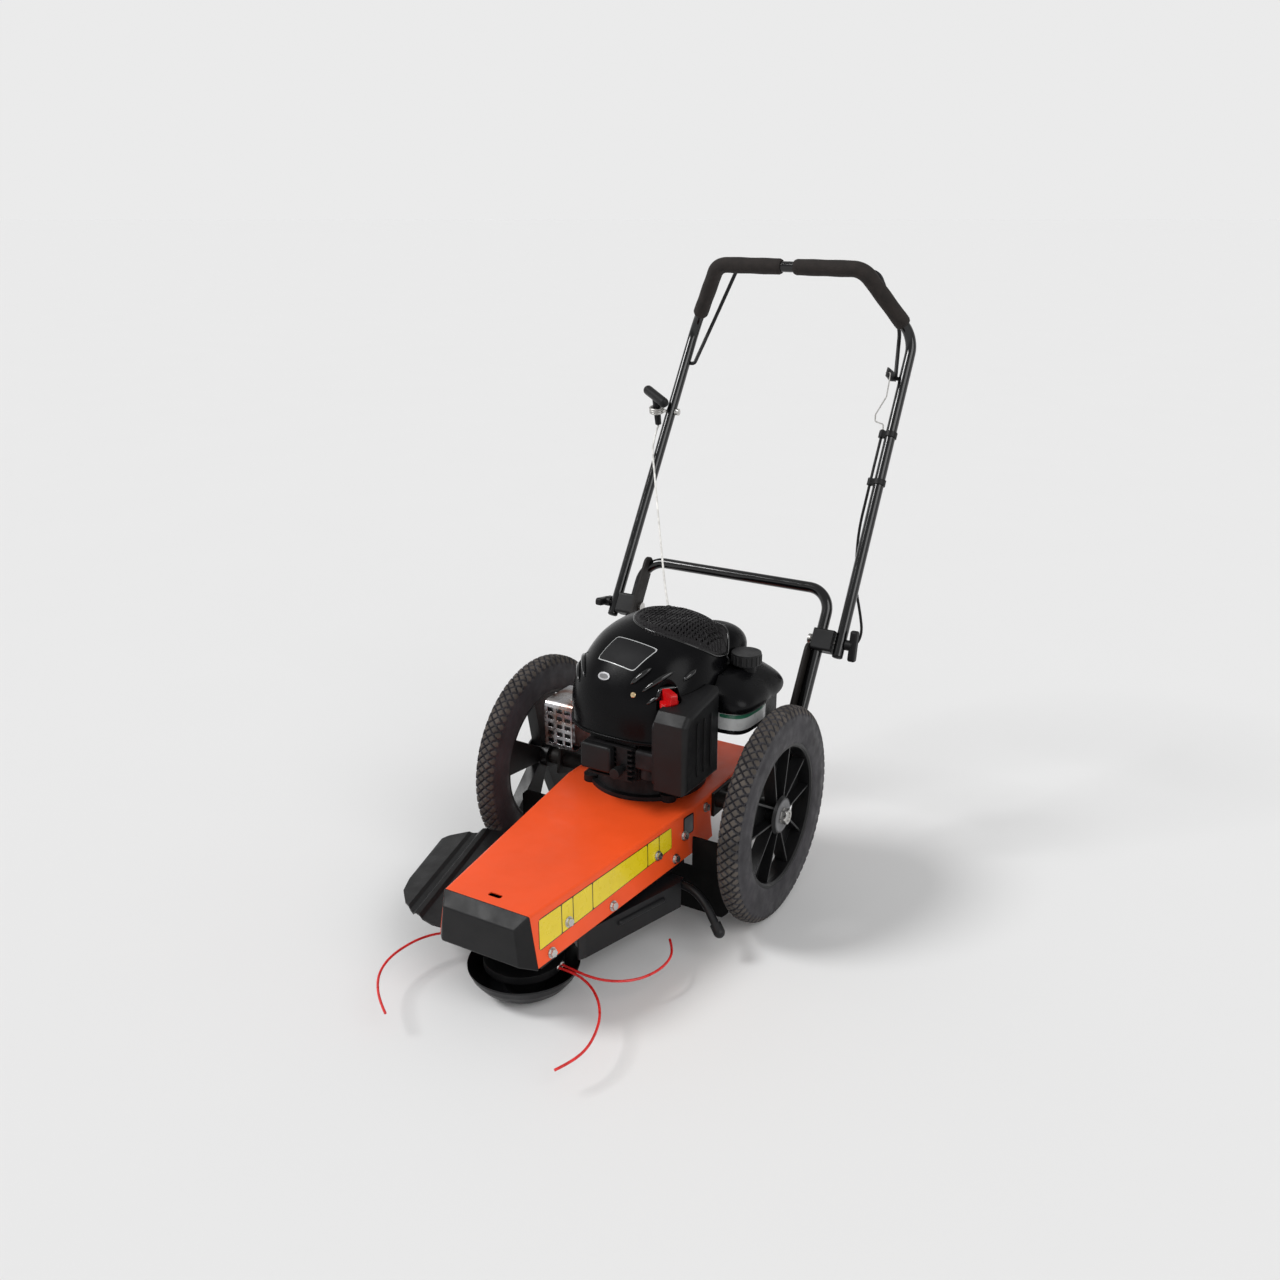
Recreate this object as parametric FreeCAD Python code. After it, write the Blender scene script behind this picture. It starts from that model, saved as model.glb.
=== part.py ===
import FreeCAD, Part
import math
import os

# Walk-behind brush mower: two high wheels, a belt deck with a string head in front, a vertical-shaft
# petrol engine and a folding push handle. Millimetres. +Z is up, the nose points to -Y, and the ground
# is z = 0. Left and right are as seen from in front of the nose: left is -X. Everything is drawn about the
# deck's own datum and moved at the end, so that the finished origin is where the ground disc's centre stands.

V = FreeCAD.Vector
LEFT, RIGHT = -1, 1
SIDES = {"left": LEFT, "right": RIGHT}
X, Y, Z = V(1, 0, 0), V(0, 1, 0), V(0, 0, 1)

# Wheels
WHEEL_RADIUS = 177.8
WHEEL_X = 227.3
TYRE_WIDTH = 35.0
RIM_RADIUS = 119.0
SPOKES = 5
AXLE_Y = -33.0
AXLE_Z = WHEEL_RADIUS
AXLE_RADIUS = 8.0
BUSH_RADIUS = 11.0
RUNNING_FIT = 0.05
HUB_REACH = 24.0

# Deck: a folded cover over a pan, tapering from the engine to the nose
SHEET = 2.0
NOSE_Y, TAPER_Y, FLANK_Y, STEP_Y, TAIL_Y = -495.0, -106.0, -64.0, -50.0, 140.0
NOSE_TOP, DECK_TOP = 187.0, 195.0
NOSE_HALF, DECK_HALF = 74.0, 122.0
SKIRT_FLARE, FLANK_FLARE = 13.0, 10.6
COVER_BOTTOM, FLANK_BOTTOM, REAR_BOTTOM = 109.0, 125.0, 152.0
PAN_TOP = 107.0
PAN_BOTTOM = 62.0
PAN_FRONT, PAN_WAIST, PAN_REAR = -488.0, -382.0, -190.0
PAN_HALF_FRONT, PAN_HALF_REAR = 91.0, 144.0
BUMPER_FRONT = NOSE_Y - 20.0

# String head
HEAD_Y = -412.0
DISC_RADIUS = 84.0
SPINDLE_RADIUS = 10.0
LINE_DIAMETER = 4.0
LINE_EXIT_Z = 49.0

# Belt drive
CRANK_Y = -45.0
CRANK_RADIUS = 12.5
BELT_Z = 150.0
DRIVE_PITCH, DRIVEN_PITCH = 32.0, 50.0
BELT_DEPTH, BELT_BACK, BELT_ROOT = 8.0, 12.0, 8.0
BELT_GAP = 0.45
IDLER_RADIUS = 20.0
IDLER_PIVOT = V(60, -320, BELT_Z)
IDLER_CENTRE = V(73.5, -230, BELT_Z)

# Handle
TUBE_RADIUS = 9.53
TUBE_WALL = 1.6
LEAN = math.radians(31.0)
FOLD_Y, FOLD_Z = 221.0, 388.0
FOLD_GAP = 1.5
LEG_X = 188.0
HANDLE_FOOT_X, HANDLE_BEND_X, HANDLE_TOP_X = 226.6, 219.5, 141.7
BEND_Y, BEND_Z = 514.0, 874.0
TOP_Y, TOP_Z = 449.6, 992.9
GRIP_RADIUS = 14.5
LOOP_TOP = 90.0
PLATE_X, PLATE_THICK = 173.3, 5.0
BOLT_RADIUS = 4.0

# Bail
BAIL_RADIUS = 3.5
BAIL_PIVOT_Y, BAIL_PIVOT_Z = 478.0, 806.0

# Control cable and starter rope
CABLE_DIAMETER = 5.0
CLIP_HEIGHTS = (716, 640)
CABLE_END = V(104, 104, DECK_TOP - 1.5)
EYE_Z, STUD_RADIUS = 720.0, 3.0
ROPE_DIAMETER = 3.5
ROPE_EXIT = V(-16, 48, 460)
STEM_TOP, STEM_FOOT = V(-253.6, 418, 741), V(-254.2, 428, 692)

# Engine
ENGINE_BASE = DECK_TOP
SHROUD_BOTTOM, SHROUD_TOP = 308.0, 472.0
SHROUD_WALL = 3.0
SCREEN_CENTRE = V(42, -12, 0)
SCREEN_HALF_X, SCREEN_HALF_Y = 74.0, 64.0
CAP_CENTRE = V(146, 17, 0)
CAP_RADIUS, NECK_RADIUS = 24.0, 17.0
FILLER = V(93, -142, 0)
FILLER_TOP = 374.0


# ------------------------------------------------------------------ helpers

def box(x0, x1, y0, y1, z0, z1):
    return Part.makeBox(x1 - x0, y1 - y0, z1 - z0, V(x0, y0, z0))


def rod(start, end, radius):
    run = end - start
    return Part.makeCylinder(radius, run.Length, start, run)


def ring(start, end, outer, inner):
    return rod(start, end, outer).cut(rod(start, end, inner))


def unit(vector):
    return vector * (1.0 / vector.Length)


def fuse(shapes):
    return shapes[0].fuse(shapes[1:]).removeSplitter()


def group(shapes):
    return Part.makeCompound(shapes)


def biggest(shape):
    return sorted(shape.Solids, key=lambda solid: solid.Volume)[-1]


def polygon(points):
    return Part.Face(Part.makePolygon(points + [points[0]]))


def prism(points, run):
    return polygon(points).extrude(run)


def plan_prism(outline, z0, z1):
    return prism([V(x, y, z0) for x, y in outline], V(0, 0, z1 - z0))


def mirrored(shape):
    return shape.mirror(V(0, 0, 0), X)


def on_side(shape, side):
    """The shape is drawn on the right; the left one is its mirror image."""
    return shape if side == RIGHT else mirrored(shape)


def both_sides(shape):
    return group([shape, mirrored(shape)])


def rounded(shape, radius, direction):
    """Rounds the straight edges that run along one direction."""
    edges = []
    for edge in shape.Edges:
        run = edge.Vertexes[-1].Point - edge.Vertexes[0].Point
        if run.Length > 0 and abs(abs(unit(run).dot(direction)) - 1) < 1e-4:
            edges.append(edge)
    return shape.makeFillet(radius, edges)


def lathe(profile, origin, axis, across):
    """Turns a closed profile of (along the axis, radius) points about the axis."""
    points = [origin + axis * along + across * radius for along, radius in profile]
    return polygon(points).revolve(origin, axis, 360)


def bent_wire(points, radii):
    """Straight runs joined by tangent arcs, one radius for each inner point."""
    edges = []
    start = points[0]
    for before, corner, after, radius in zip(points, points[1:], points[2:], radii):
        back, ahead = unit(before - corner), unit(after - corner)
        half = back.getAngle(ahead) / 2
        reach = radius / math.tan(half)
        inward = unit(back + ahead)
        middle = corner + inward * (radius / math.sin(half) - radius)
        first, last = corner + back * reach, corner + ahead * reach
        edges.append(Part.LineSegment(start, first).toShape())
        edges.append(Part.Arc(first, middle, last).toShape())
        start = last
    edges.append(Part.LineSegment(start, points[-1]).toShape())
    return Part.Wire(edges)


def swept(points, radii, radius):
    profile = Part.Wire(Part.Circle(points[0], points[1] - points[0], radius).toShape())
    return bent_wire(points, radii).makePipeShell([profile], True, True)


def pipe(points, radii, outer, wall):
    return swept(points, radii, outer).cut(swept(points, radii, outer - wall))


def easy_radii(points):
    """The largest arcs that a cord's runs leave room for."""
    radii = []
    for before, corner, after in zip(points, points[1:], points[2:]):
        turn = (corner - before).getAngle(after - corner)
        shorter = min((corner - before).Length, (after - corner).Length)
        radii.append(0.45 * shorter / math.tan(turn / 2))
    return radii


def cord(points, diameter, name):
    radii = easy_radii(points)
    shape = swept(points, radii, diameter / 2)
    path = bent_wire(points, radii)
    expected = path.Length * math.pi * diameter * diameter / 4
    print(name, "radii", [round(radius) for radius in radii], "volume ratio", round(shape.Volume / expected, 4))
    return shape


def oval(centre, half_x, half_y, power):
    """A closed smooth ring: an ellipse when power is 2, and boxier above that."""
    points = []
    for step in range(32):
        angle = 2 * math.pi * step / 32
        c, s = math.cos(angle), math.sin(angle)
        x = math.copysign(abs(c) ** (2 / power), c) * half_x
        y = math.copysign(abs(s) ** (2 / power), s) * half_y
        points.append(centre + V(x, y, 0))
    curve = Part.BSplineCurve()
    curve.interpolate(points, PeriodicFlag=True)
    return Part.Wire(curve.toShape())


# ------------------------------------------------------------------ wheels

def wheel_centre(side):
    return V(side * WHEEL_X, AXLE_Y, AXLE_Z)


def tyre(side):
    half = TYRE_WIDTH / 2
    profile = [(-half + 1, RIM_RADIUS), (-half, RIM_RADIUS + 4), (-half - 1.2, RIM_RADIUS + 30),
               (-half, WHEEL_RADIUS - 7), (-half + 3, WHEEL_RADIUS - 2.2), (-half + 7, WHEEL_RADIUS)]
    profile += [(-along, radius) for along, radius in reversed(profile)]
    return lathe(profile, wheel_centre(side), X, Z)


def spoke(angle):
    """One spoke of a wheel centred on the origin with its outer face to +X."""
    hub_half, rim_half, inner, outer = 13.0, 33.0, 20.0, RIM_RADIUS - 5
    panel_back, panel, rib_front, rib = -11.0, 3.5, 10.0, 3.2
    panel_shape = prism([V(panel_back, -hub_half, inner), V(panel_back, hub_half, inner),
                         V(panel_back, rim_half, outer), V(panel_back, -rim_half, outer)], V(panel, 0, 0))
    pieces = [panel_shape]
    for edge in (-1, 1):
        pieces.append(prism([V(panel_back, edge * hub_half, inner), V(panel_back, edge * (hub_half - rib), inner),
                             V(panel_back, edge * (rim_half - rib), outer), V(panel_back, edge * rim_half, outer)],
                            V(rib_front - panel_back, 0, 0)))
    shape = fuse(pieces)
    shape.rotate(V(0, 0, 0), X, angle)
    return shape


def rim(side):
    barrel = lathe([(-15.5, RIM_RADIUS), (-15.5, RIM_RADIUS - 4), (-13, RIM_RADIUS - 7), (-5, RIM_RADIUS - 7.5),
                    (5, RIM_RADIUS - 7.5), (13, RIM_RADIUS - 7), (15.5, RIM_RADIUS - 4), (15.5, RIM_RADIUS)],
                   V(0, 0, 0), X, Z)
    hub = rod(V(-HUB_REACH, 0, 0), V(15, 0, 0), 21)
    face = Part.makeCone(32, 29, 5, V(10, 0, 0), X)
    shape = fuse([barrel, hub, face] + [spoke(360 * index / SPOKES) for index in range(SPOKES)])
    shape = shape.cut(rod(V(-HUB_REACH - 1, 0, 0), V(16, 0, 0), BUSH_RADIUS))
    if side == LEFT:
        shape = mirrored(shape)
    shape.translate(wheel_centre(side))
    return shape


def hub_bushes(side):
    inner, middle, outer = WHEEL_X - HUB_REACH, WHEEL_X, WHEEL_X + 15
    start, end = V(0, AXLE_Y, AXLE_Z), X
    bore = AXLE_RADIUS + RUNNING_FIT
    pieces = [ring(start + end * inner, start + end * (middle - 6), BUSH_RADIUS, bore),
              ring(start + end * (middle + 2), start + end * outer, BUSH_RADIUS, bore)]
    return on_side(group(pieces), side)


def stub_axle():
    centre = V(0, AXLE_Y, AXLE_Z)
    shaft = rod(centre + X * 150, centre + X * 251, AXLE_RADIUS)
    collar = rod(centre + X * 202.4, centre + X * 202.9, 12)
    return fuse([shaft, collar])


def axle_nut():
    """The washer and nut that hold a wheel on."""
    centre = V(0, AXLE_Y, AXLE_Z)
    washer = ring(centre + X * 243, centre + X * 244.6, 13, AXLE_RADIUS)
    flats = [centre + X * 244.6 + V(0, math.cos(a), math.sin(a)) * 13.5
             for a in [math.pi * step / 3 for step in range(6)]]
    nut = prism(flats, X * 8).common(Part.makeCone(15.5, 11.5, 9, centre + X * 244.6, X))
    nut = nut.cut(rod(centre + X * 244, centre + X * 253, AXLE_RADIUS))
    return group([washer, nut])


def stub_axles():
    return both_sides(group([stub_axle(), axle_nut()]))


# ------------------------------------------------------------------ deck

def cover_section(y, top, half, bottom, flare, inset):
    """A cross-section of the cover, open at the bottom once its inside is cut away."""
    top, half, bottom = top - inset, half - inset, bottom - (1 if inset else 0)
    return Part.makePolygon([V(-half, y, top), V(half, y, top), V(half + flare, y, bottom),
                             V(-half - flare, y, bottom), V(-half, y, top)])


def cover_body(inset):
    reach = inset if inset else 0
    nose = cover_section(NOSE_Y - reach, NOSE_TOP, NOSE_HALF, COVER_BOTTOM, SKIRT_FLARE, inset)
    taper, flank = [cover_section(y, DECK_TOP, DECK_HALF, FLANK_BOTTOM, FLANK_FLARE, inset)
                    for y in (TAPER_Y, FLANK_Y)]
    step, tail = [cover_section(y, DECK_TOP, DECK_HALF, REAR_BOTTOM, 0, inset) for y in (STEP_Y, TAIL_Y - reach)]
    spans = [Part.makeLoft([start, end], True, True)
             for start, end in ((nose, taper), (taper, flank), (flank, step), (step, tail))]
    return spans[0].fuse(spans[1:])


def belt_cover():
    """A folded steel cover with a slot near the nose and a hole for the crankshaft."""
    outer = cover_body(0).removeSplitter()
    folds = [edge for edge in outer.Edges
             if all(vertex.Z > NOSE_TOP - 1 and abs(vertex.X) > NOSE_HALF - 1 for vertex in edge.Vertexes)
             and edge.BoundBox.YLength > 10]
    shape = outer.makeFillet(5, folds).cut(cover_body(SHEET))
    slot = rounded(box(-11, 11, NOSE_Y + 17, NOSE_Y + 26, NOSE_TOP - 10, NOSE_TOP + 10), 3, Z)
    crank_hole = rod(V(0, CRANK_Y, 150), V(0, CRANK_Y, DECK_TOP + 5), 24)
    cable_hole = rod(CABLE_END - Z * 10, CABLE_END + Z * 10, CABLE_DIAMETER / 2 + 0.5)
    return shape.cut([slot, crank_hole, cable_hole])


def bumper_section(y, top, half_top, bottom, half_bottom):
    return Part.makePolygon([V(-half_top, y, top), V(half_top, y, top), V(half_bottom, y, bottom),
                             V(-half_bottom, y, bottom), V(-half_top, y, top)])


def bumper():
    """A moulded nose cap: a flat front face with a sloped top and sloped cheeks."""
    back, front = NOSE_Y, BUMPER_FRONT
    outer = Part.makeLoft([bumper_section(back, NOSE_TOP, NOSE_HALF, 104, NOSE_HALF + SKIRT_FLARE),
                           bumper_section(front, 172, 62, 114, 68)], True, True)
    outer = outer.makeFillet(4, [edge for edge in outer.Edges if edge.BoundBox.YMax < back - 1
                                 or edge.BoundBox.YLength > 10])
    inner = Part.makeLoft([bumper_section(back + 0.1, NOSE_TOP - 3, NOSE_HALF - 3, 107, NOSE_HALF + 10),
                           bumper_section(front + 3, 168, 58.5, 117.5, 64)], True, True)
    lip = box(-66, 66, back - 2, back + 14, NOSE_TOP - 5.5, NOSE_TOP - 2.8)
    return outer.cut(inner).fuse(lip).removeSplitter()


def frame_rail():
    """A flat bar on edge inside the cover's right side."""
    inset = SHEET + 0.4
    outer = [(NOSE_HALF - inset, NOSE_Y + 6), (DECK_HALF - inset, TAPER_Y), (DECK_HALF - inset, TAIL_Y - 6)]
    inner = [(x - 4, y) for x, y in reversed(outer)]
    rail = plan_prism(outer + inner, REAR_BOTTOM, 181)
    drop_outer = [(NOSE_HALF + 3, NOSE_Y + 6), (DECK_HALF - inset, TAPER_Y - 30)]
    drop_inner = [(x - 4, y) for x, y in reversed(drop_outer)]
    web = plan_prism(drop_outer + drop_inner, PAN_TOP + 0.2, REAR_BOTTOM)
    return fuse([rail, web])


def deck_frame():
    """Two rails inside the cover, welded to the plate that the engine bolts down to."""
    outline = [(-113, TAPER_Y - 30), (113, TAPER_Y - 30), (117, TAPER_Y), (117, TAIL_Y - 8),
               (-117, TAIL_Y - 8), (-117, TAPER_Y)]
    plate = plan_prism(outline, 180.5, DECK_TOP - SHEET - 1)
    plate = plate.cut(rod(V(0, CRANK_Y, 170), V(0, CRANK_Y, 200), 24))
    rail = frame_rail()
    return fuse([plate, rail, mirrored(rail)])


def pan_half(y):
    """Half the pan's width: straight at the nose, then flaring from the waist to the rear."""
    share = max(0.0, (y - PAN_WAIST) / (PAN_REAR - PAN_WAIST))
    return PAN_HALF_FRONT + share * (PAN_HALF_REAR - PAN_HALF_FRONT)


def deck_pan():
    outline = [(-86, PAN_FRONT), (86, PAN_FRONT), (PAN_HALF_FRONT, PAN_WAIST), (PAN_HALF_REAR, PAN_REAR),
               (-PAN_HALF_REAR, PAN_REAR), (-PAN_HALF_FRONT, PAN_WAIST)]
    floor = plan_prism(outline, PAN_TOP - 3, PAN_TOP)
    skirt_wall = 2.5
    side = [V(PAN_HALF_FRONT - 0.8, PAN_WAIST - 18, PAN_TOP), V(PAN_HALF_FRONT, PAN_WAIST, PAN_TOP),
            V(PAN_HALF_REAR, PAN_REAR, PAN_TOP)]
    skirts = []
    for start, end, low in ((side[0], side[1], PAN_BOTTOM + 6), (side[1], side[2], PAN_BOTTOM)):
        face = [start, end, V(end.x, end.y, PAN_BOTTOM), V(start.x, start.y, low)]
        skirts.append(prism(face, V(-skirt_wall, 0, 0)))
    run = unit(side[2] - side[1])
    rib_start, rib_end = side[1] + run * 68 - Z * 15, side[1] + run * 158 - Z * 15
    rib = fuse([rod(rib_start, rib_end, 4.5), Part.makeSphere(4.5, rib_start), Part.makeSphere(4.5, rib_end)])
    half = fuse(skirts + [rib])
    shape = fuse([floor, half, mirrored(half), idler_stud()])
    return shape.cut(rod(V(0, HEAD_Y, PAN_TOP - 10), V(0, HEAD_Y, PAN_TOP + 10), 22))


def debris_shield():
    """The ridged guard that carries the pan out past its left skirt."""
    inner_rear, inner_waist = V(-PAN_HALF_REAR - 0.5, PAN_REAR, 0), V(-PAN_HALF_FRONT - 0.5, PAN_WAIST, 0)
    along = unit(inner_waist - inner_rear)
    outward = unit(V(along.y, -along.x, 0))
    wall = 3.0
    crest = [(-4, 103), (74, 100), (80, 104), (88, 104), (96, 96), (104, 96), (110, 99), (146, 92), (190, 78)]
    origin = inner_rear - along * 60
    top = [origin + outward * reach + Z * height for reach, height in crest]
    bottom = [point - Z * wall for point in reversed(top)]
    sheet = prism(top + bottom, along * 420)
    outline = [(-87, -470), (-121, -473), (-162, -463), (-200, -441), (-229, -412), (-246, -378),
               (-286, -248), (-278, -236), (-217, -194), (-150, -178), (-145.5, -189), (-92, -382)]
    shield = sheet.common(plan_prism(outline, 60, 120))
    ear = box(-100, -87.6, -462, -300, 100, 103)
    clear = plan_prism([(PAN_HALF_FRONT + 0.3, PAN_WAIST), (PAN_HALF_REAR + 0.3, PAN_REAR + 2),
                        (-PAN_HALF_REAR - 0.3, PAN_REAR + 2), (-PAN_HALF_FRONT - 0.3, PAN_WAIST),
                        (-86.4, PAN_FRONT - 2), (86.4, PAN_FRONT - 2)], 55, 125)
    return shield.cut(clear)


def rear_flap():
    """A rubber guard behind the head, cut round the deck and hanging between the wheels."""
    y0, y1 = TAPER_Y - 28, TAPER_Y - 24
    right = [(188, 26), (198, 36), (198, 148), (190, 156), (133, 156), (133, 103)]
    outline = right + [(-x, z) for x, z in reversed(right)]
    return prism([V(x, y0, z) for x, z in outline], V(0, y1 - y0, 0))


def guide_arm():
    """A bent arm that reaches out of the pan's right rear corner."""
    points = [V(120, -180, 96), V(158, -182, 96), V(188, -192, 84), V(213, -206, 62)]
    arm = swept(points, easy_radii(points), 6.5)
    foot = box(112, 141, PAN_REAR + 0.2, -176, 92, PAN_TOP)
    tip_start, tip_end = points[-1], points[-1] + unit(points[-1] - points[-2]) * 14
    return fuse([foot, arm, rod(tip_start, tip_end, 9), Part.makeSphere(9, tip_end)])


def flange_bolt(point, outward):
    """A hex flange screw whose head lies on a surface and whose shank goes in."""
    head_start = point + outward * 1.6
    across = unit(outward.cross(Y + Z * 0.3))
    other = unit(outward.cross(across))
    flats = [head_start + across * math.cos(a) * 6.2 + other * math.sin(a) * 6.2
             for a in [math.pi * step / 3 for step in range(6)]]
    return fuse([Part.makeCylinder(8, 1.6, point, outward), prism(flats, outward * 4.4)])


def cover_side(y, z):
    """The point on the cover's right skirt at this place, and the skirt's outward normal."""
    share = min(1.0, (y - NOSE_Y) / (TAPER_Y - NOSE_Y))
    top = NOSE_TOP + share * (DECK_TOP - NOSE_TOP)
    half = NOSE_HALF + share * (DECK_HALF - NOSE_HALF)
    bottom = COVER_BOTTOM + share * (FLANK_BOTTOM - COVER_BOTTOM)
    slope = (SKIRT_FLARE + share * (FLANK_FLARE - SKIRT_FLARE)) / (top - bottom)
    taper = (DECK_HALF - NOSE_HALF) / (TAPER_Y - NOSE_Y) if share < 1 else 0
    return V(half + slope * (top - z), y, z), unit(V(1, -taper, slope))


def cover_bolts():
    places = [(-466, 119), (-424, 146), (-329, 126), (-213, 156), (-172, 133), (-143, 160), (-74, 180)]
    bolts = [flange_bolt(*cover_side(y, z)) for y, z in places]
    bolts += [flange_bolt(V(DECK_HALF + 5, y, 181), X) for y in (6, 50)]
    return group([on_side(bolt, side) for bolt in bolts for side in (LEFT, RIGHT)])


# ------------------------------------------------------------------ side frames and lower handle

def lean_point(x, along):
    """A point in the plane of the handle, measured along its tubes from the fold bolts."""
    return V(x, FOLD_Y + along * math.sin(LEAN), FOLD_Z + along * math.cos(LEAN))


def strap(top):
    """A flat bar beside the lower leg, drawn along the lean and a little forward of the tube."""
    up, forward = V(0, math.sin(LEAN), math.cos(LEAN)), V(0, -math.cos(LEAN), math.sin(LEAN))
    start = lean_point(PLATE_X, -275)
    rear, front = forward * -6.0, forward * 24.0
    end = lean_point(PLATE_X, top)
    bar = prism([start + rear, start + front, end + front, end + rear], X * PLATE_THICK)
    middle = end + (rear + front) * 0.5
    return bar.fuse(rod(middle, middle + X * PLATE_THICK, 15))


def side_frame(side):
    """The bracket that carries one wheel and one leg of the handle."""
    centre = V(0, AXLE_Y, AXLE_Z)
    flange = box(DECK_HALF + 0.2, DECK_HALF + 5, STEP_Y + 1, 100, 152, 193)
    boss = rod(centre + X * (DECK_HALF + 4), centre + X * 202, 14)
    plate = prism([V(PLATE_X, -58, 160), V(PLATE_X, -50, 203), V(PLATE_X, -10, 207), V(PLATE_X, 95, 178),
                   V(PLATE_X, 104, 140), V(PLATE_X, 60, 132), V(PLATE_X, -30, 150)], X * PLATE_THICK)
    brace = ring(V(DECK_HALF + 4, 78, 168), V(PLATE_X + 1, 78, 160), 9, 7)
    shape = fuse([flange, boss, plate, brace, strap(80 if side == LEFT else -24)])
    bolt_line = rod(lean_point(150, 0), lean_point(PLATE_X + 10, 0), BOLT_RADIUS + 0.05)
    shape = shape.cut([rod(centre + X * 149, centre + X * 210, AXLE_RADIUS), bolt_line, loop_rod(0.3)])
    return on_side(biggest(shape), side)


def loop_points():
    return [lean_point(-LEG_X, -272), lean_point(-LEG_X, LOOP_TOP), lean_point(LEG_X, LOOP_TOP),
            lean_point(LEG_X, -272)]


def loop_rod(gap):
    """The space that the lower handle's tube takes up."""
    return swept(loop_points(), [42, 42], TUBE_RADIUS + gap)


def lower_handle():
    tube = pipe(loop_points(), [42, 42], TUBE_RADIUS, TUBE_WALL)
    holes = [rod(lean_point(side * 170, 0), lean_point(side * 210, 0), BOLT_RADIUS + 0.05) for side in (-1, 1)]
    return tube.cut(holes)


def clamp_blocks():
    up, forward = V(0, math.sin(LEAN), math.cos(LEAN)), V(0, -math.cos(LEAN), math.sin(LEAN))
    x0 = LEG_X - TUBE_RADIUS + 0.4
    corner = lean_point(x0, -19) - forward * 16
    block = prism([corner, corner + forward * 32, corner + forward * 32 + up * 38, corner + up * 38],
                  X * (HANDLE_FOOT_X - TUBE_RADIUS - FOLD_GAP - x0))
    block = rounded(block, 4, X)
    leg = rod(lean_point(LEG_X, -60), lean_point(LEG_X, 60), TUBE_RADIUS + 0.02)
    bolt = rod(lean_point(LEG_X - 30, 0), lean_point(LEG_X + 40, 0), BOLT_RADIUS + 0.05)
    return both_sides(block.cut([leg, bolt]))


def fold_bolts():
    """Carriage bolts along X: through the leg and block, on through the handle to the knob."""
    shank = rod(lean_point(PLATE_X - 1, 0), lean_point(247, 0), BOLT_RADIUS)
    head = rod(lean_point(PLATE_X - 5, 0), lean_point(PLATE_X - 0.2, 0), 9)
    return both_sides(fuse([shank, head]))


def clamp_knob(side):
    """A T-knob; the right one stands along the tube and the left one across it."""
    inner = HANDLE_FOOT_X + TUBE_RADIUS + 0.4
    hub = rod(lean_point(inner, 0), lean_point(inner + 12, 0), 9)
    bar = box(inner + 7, inner + 20, -7, 7, -27, 27)
    bar = rounded(bar, 5, X)
    bar = rounded(bar, 3, Z)
    bar.rotate(V(0, 0, 0), X, -10 if side == RIGHT else 80)
    bar.translate(V(0, FOLD_Y, FOLD_Z))
    shape = hub.fuse(bar).removeSplitter()
    return on_side(shape.cut(rod(lean_point(inner - 1, 0), lean_point(247.5, 0), BOLT_RADIUS + RUNNING_FIT)), side)


# ------------------------------------------------------------------ upper handle

def handle_points():
    foot = lean_point(HANDLE_FOOT_X, -22)
    bend = V(HANDLE_BEND_X, BEND_Y, BEND_Z)
    top = V(HANDLE_TOP_X, TOP_Y, TOP_Z)
    right = [foot, bend, top]
    return [V(-p.x, p.y, p.z) for p in right] + [p for p in reversed(right)]


def upper_handle():
    tube = pipe(handle_points(), [50, 34, 34, 50], TUBE_RADIUS, TUBE_WALL)
    bolt = rod(lean_point(-260, 0), lean_point(260, 0), BOLT_RADIUS + RUNNING_FIT)
    pivots = rod(V(-240, BAIL_PIVOT_Y, BAIL_PIVOT_Z), V(240, BAIL_PIVOT_Y, BAIL_PIVOT_Z), BAIL_RADIUS + RUNNING_FIT)
    eye_stud = rod(V(-260, handle_axis(EYE_Z).y, EYE_Z), V(-200, handle_axis(EYE_Z).y, EYE_Z), STUD_RADIUS)
    return tube.cut([bolt, pivots, eye_stud])


def grips():
    """Two foam sleeves, each over one slanted stretch and its half of the crossbar."""
    bend, top = V(HANDLE_BEND_X, BEND_Y, BEND_Z), V(HANDLE_TOP_X, TOP_Y, TOP_Z)
    start = bend + unit(top - bend) * 31
    points = [start, top, V(13, TOP_Y, TOP_Z)]
    sleeve = swept(points, [34], GRIP_RADIUS).cut(swept(points, [34], TUBE_RADIUS))
    return both_sides(sleeve)


def bail_points(side):
    pivot = V(218.6, BAIL_PIVOT_Y, BAIL_PIVOT_Z)
    inside = V(203, BAIL_PIVOT_Y, BAIL_PIVOT_Z)
    points = [pivot + X * -2, inside, V(187, 531, 888), V(140, 531, 985)]
    return [V(side * p.x, p.y, p.z) for p in points]


def bail():
    """The hold-down rod: pivots in the tubes, with a lever plate for the control wire on its right."""
    points = bail_points(LEFT) + list(reversed(bail_points(RIGHT)))
    rod_shape = swept(points, [6, 60, 24, 24, 60, 6], BAIL_RADIUS)
    lever_x = 199.5
    lever = prism([V(lever_x, BAIL_PIVOT_Y + 6, BAIL_PIVOT_Z - 6), V(lever_x, BAIL_PIVOT_Y + 7, BAIL_PIVOT_Z + 7),
                   V(lever_x, BAIL_PIVOT_Y - 36, BAIL_PIVOT_Z + 24), V(lever_x, BAIL_PIVOT_Y - 44, BAIL_PIVOT_Z + 10),
                   V(lever_x, BAIL_PIVOT_Y - 20, BAIL_PIVOT_Z - 2)], X * 3)
    hole = rod(V(190, BAIL_PIVOT_Y - 36, BAIL_PIVOT_Z + 15), V(210, BAIL_PIVOT_Y - 36, BAIL_PIVOT_Z + 15), 3)
    return rod_shape.fuse(lever.cut(hole)).removeSplitter()


def handle_axis(z, side=RIGHT):
    """The centre of an upper handle tube at this height."""
    foot, bend = lean_point(HANDLE_FOOT_X, -22), V(HANDLE_BEND_X, BEND_Y, BEND_Z)
    point = foot + (bend - foot) * ((z - foot.z) / (bend.z - foot.z))
    return V(side * point.x, point.y, point.z)


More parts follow.
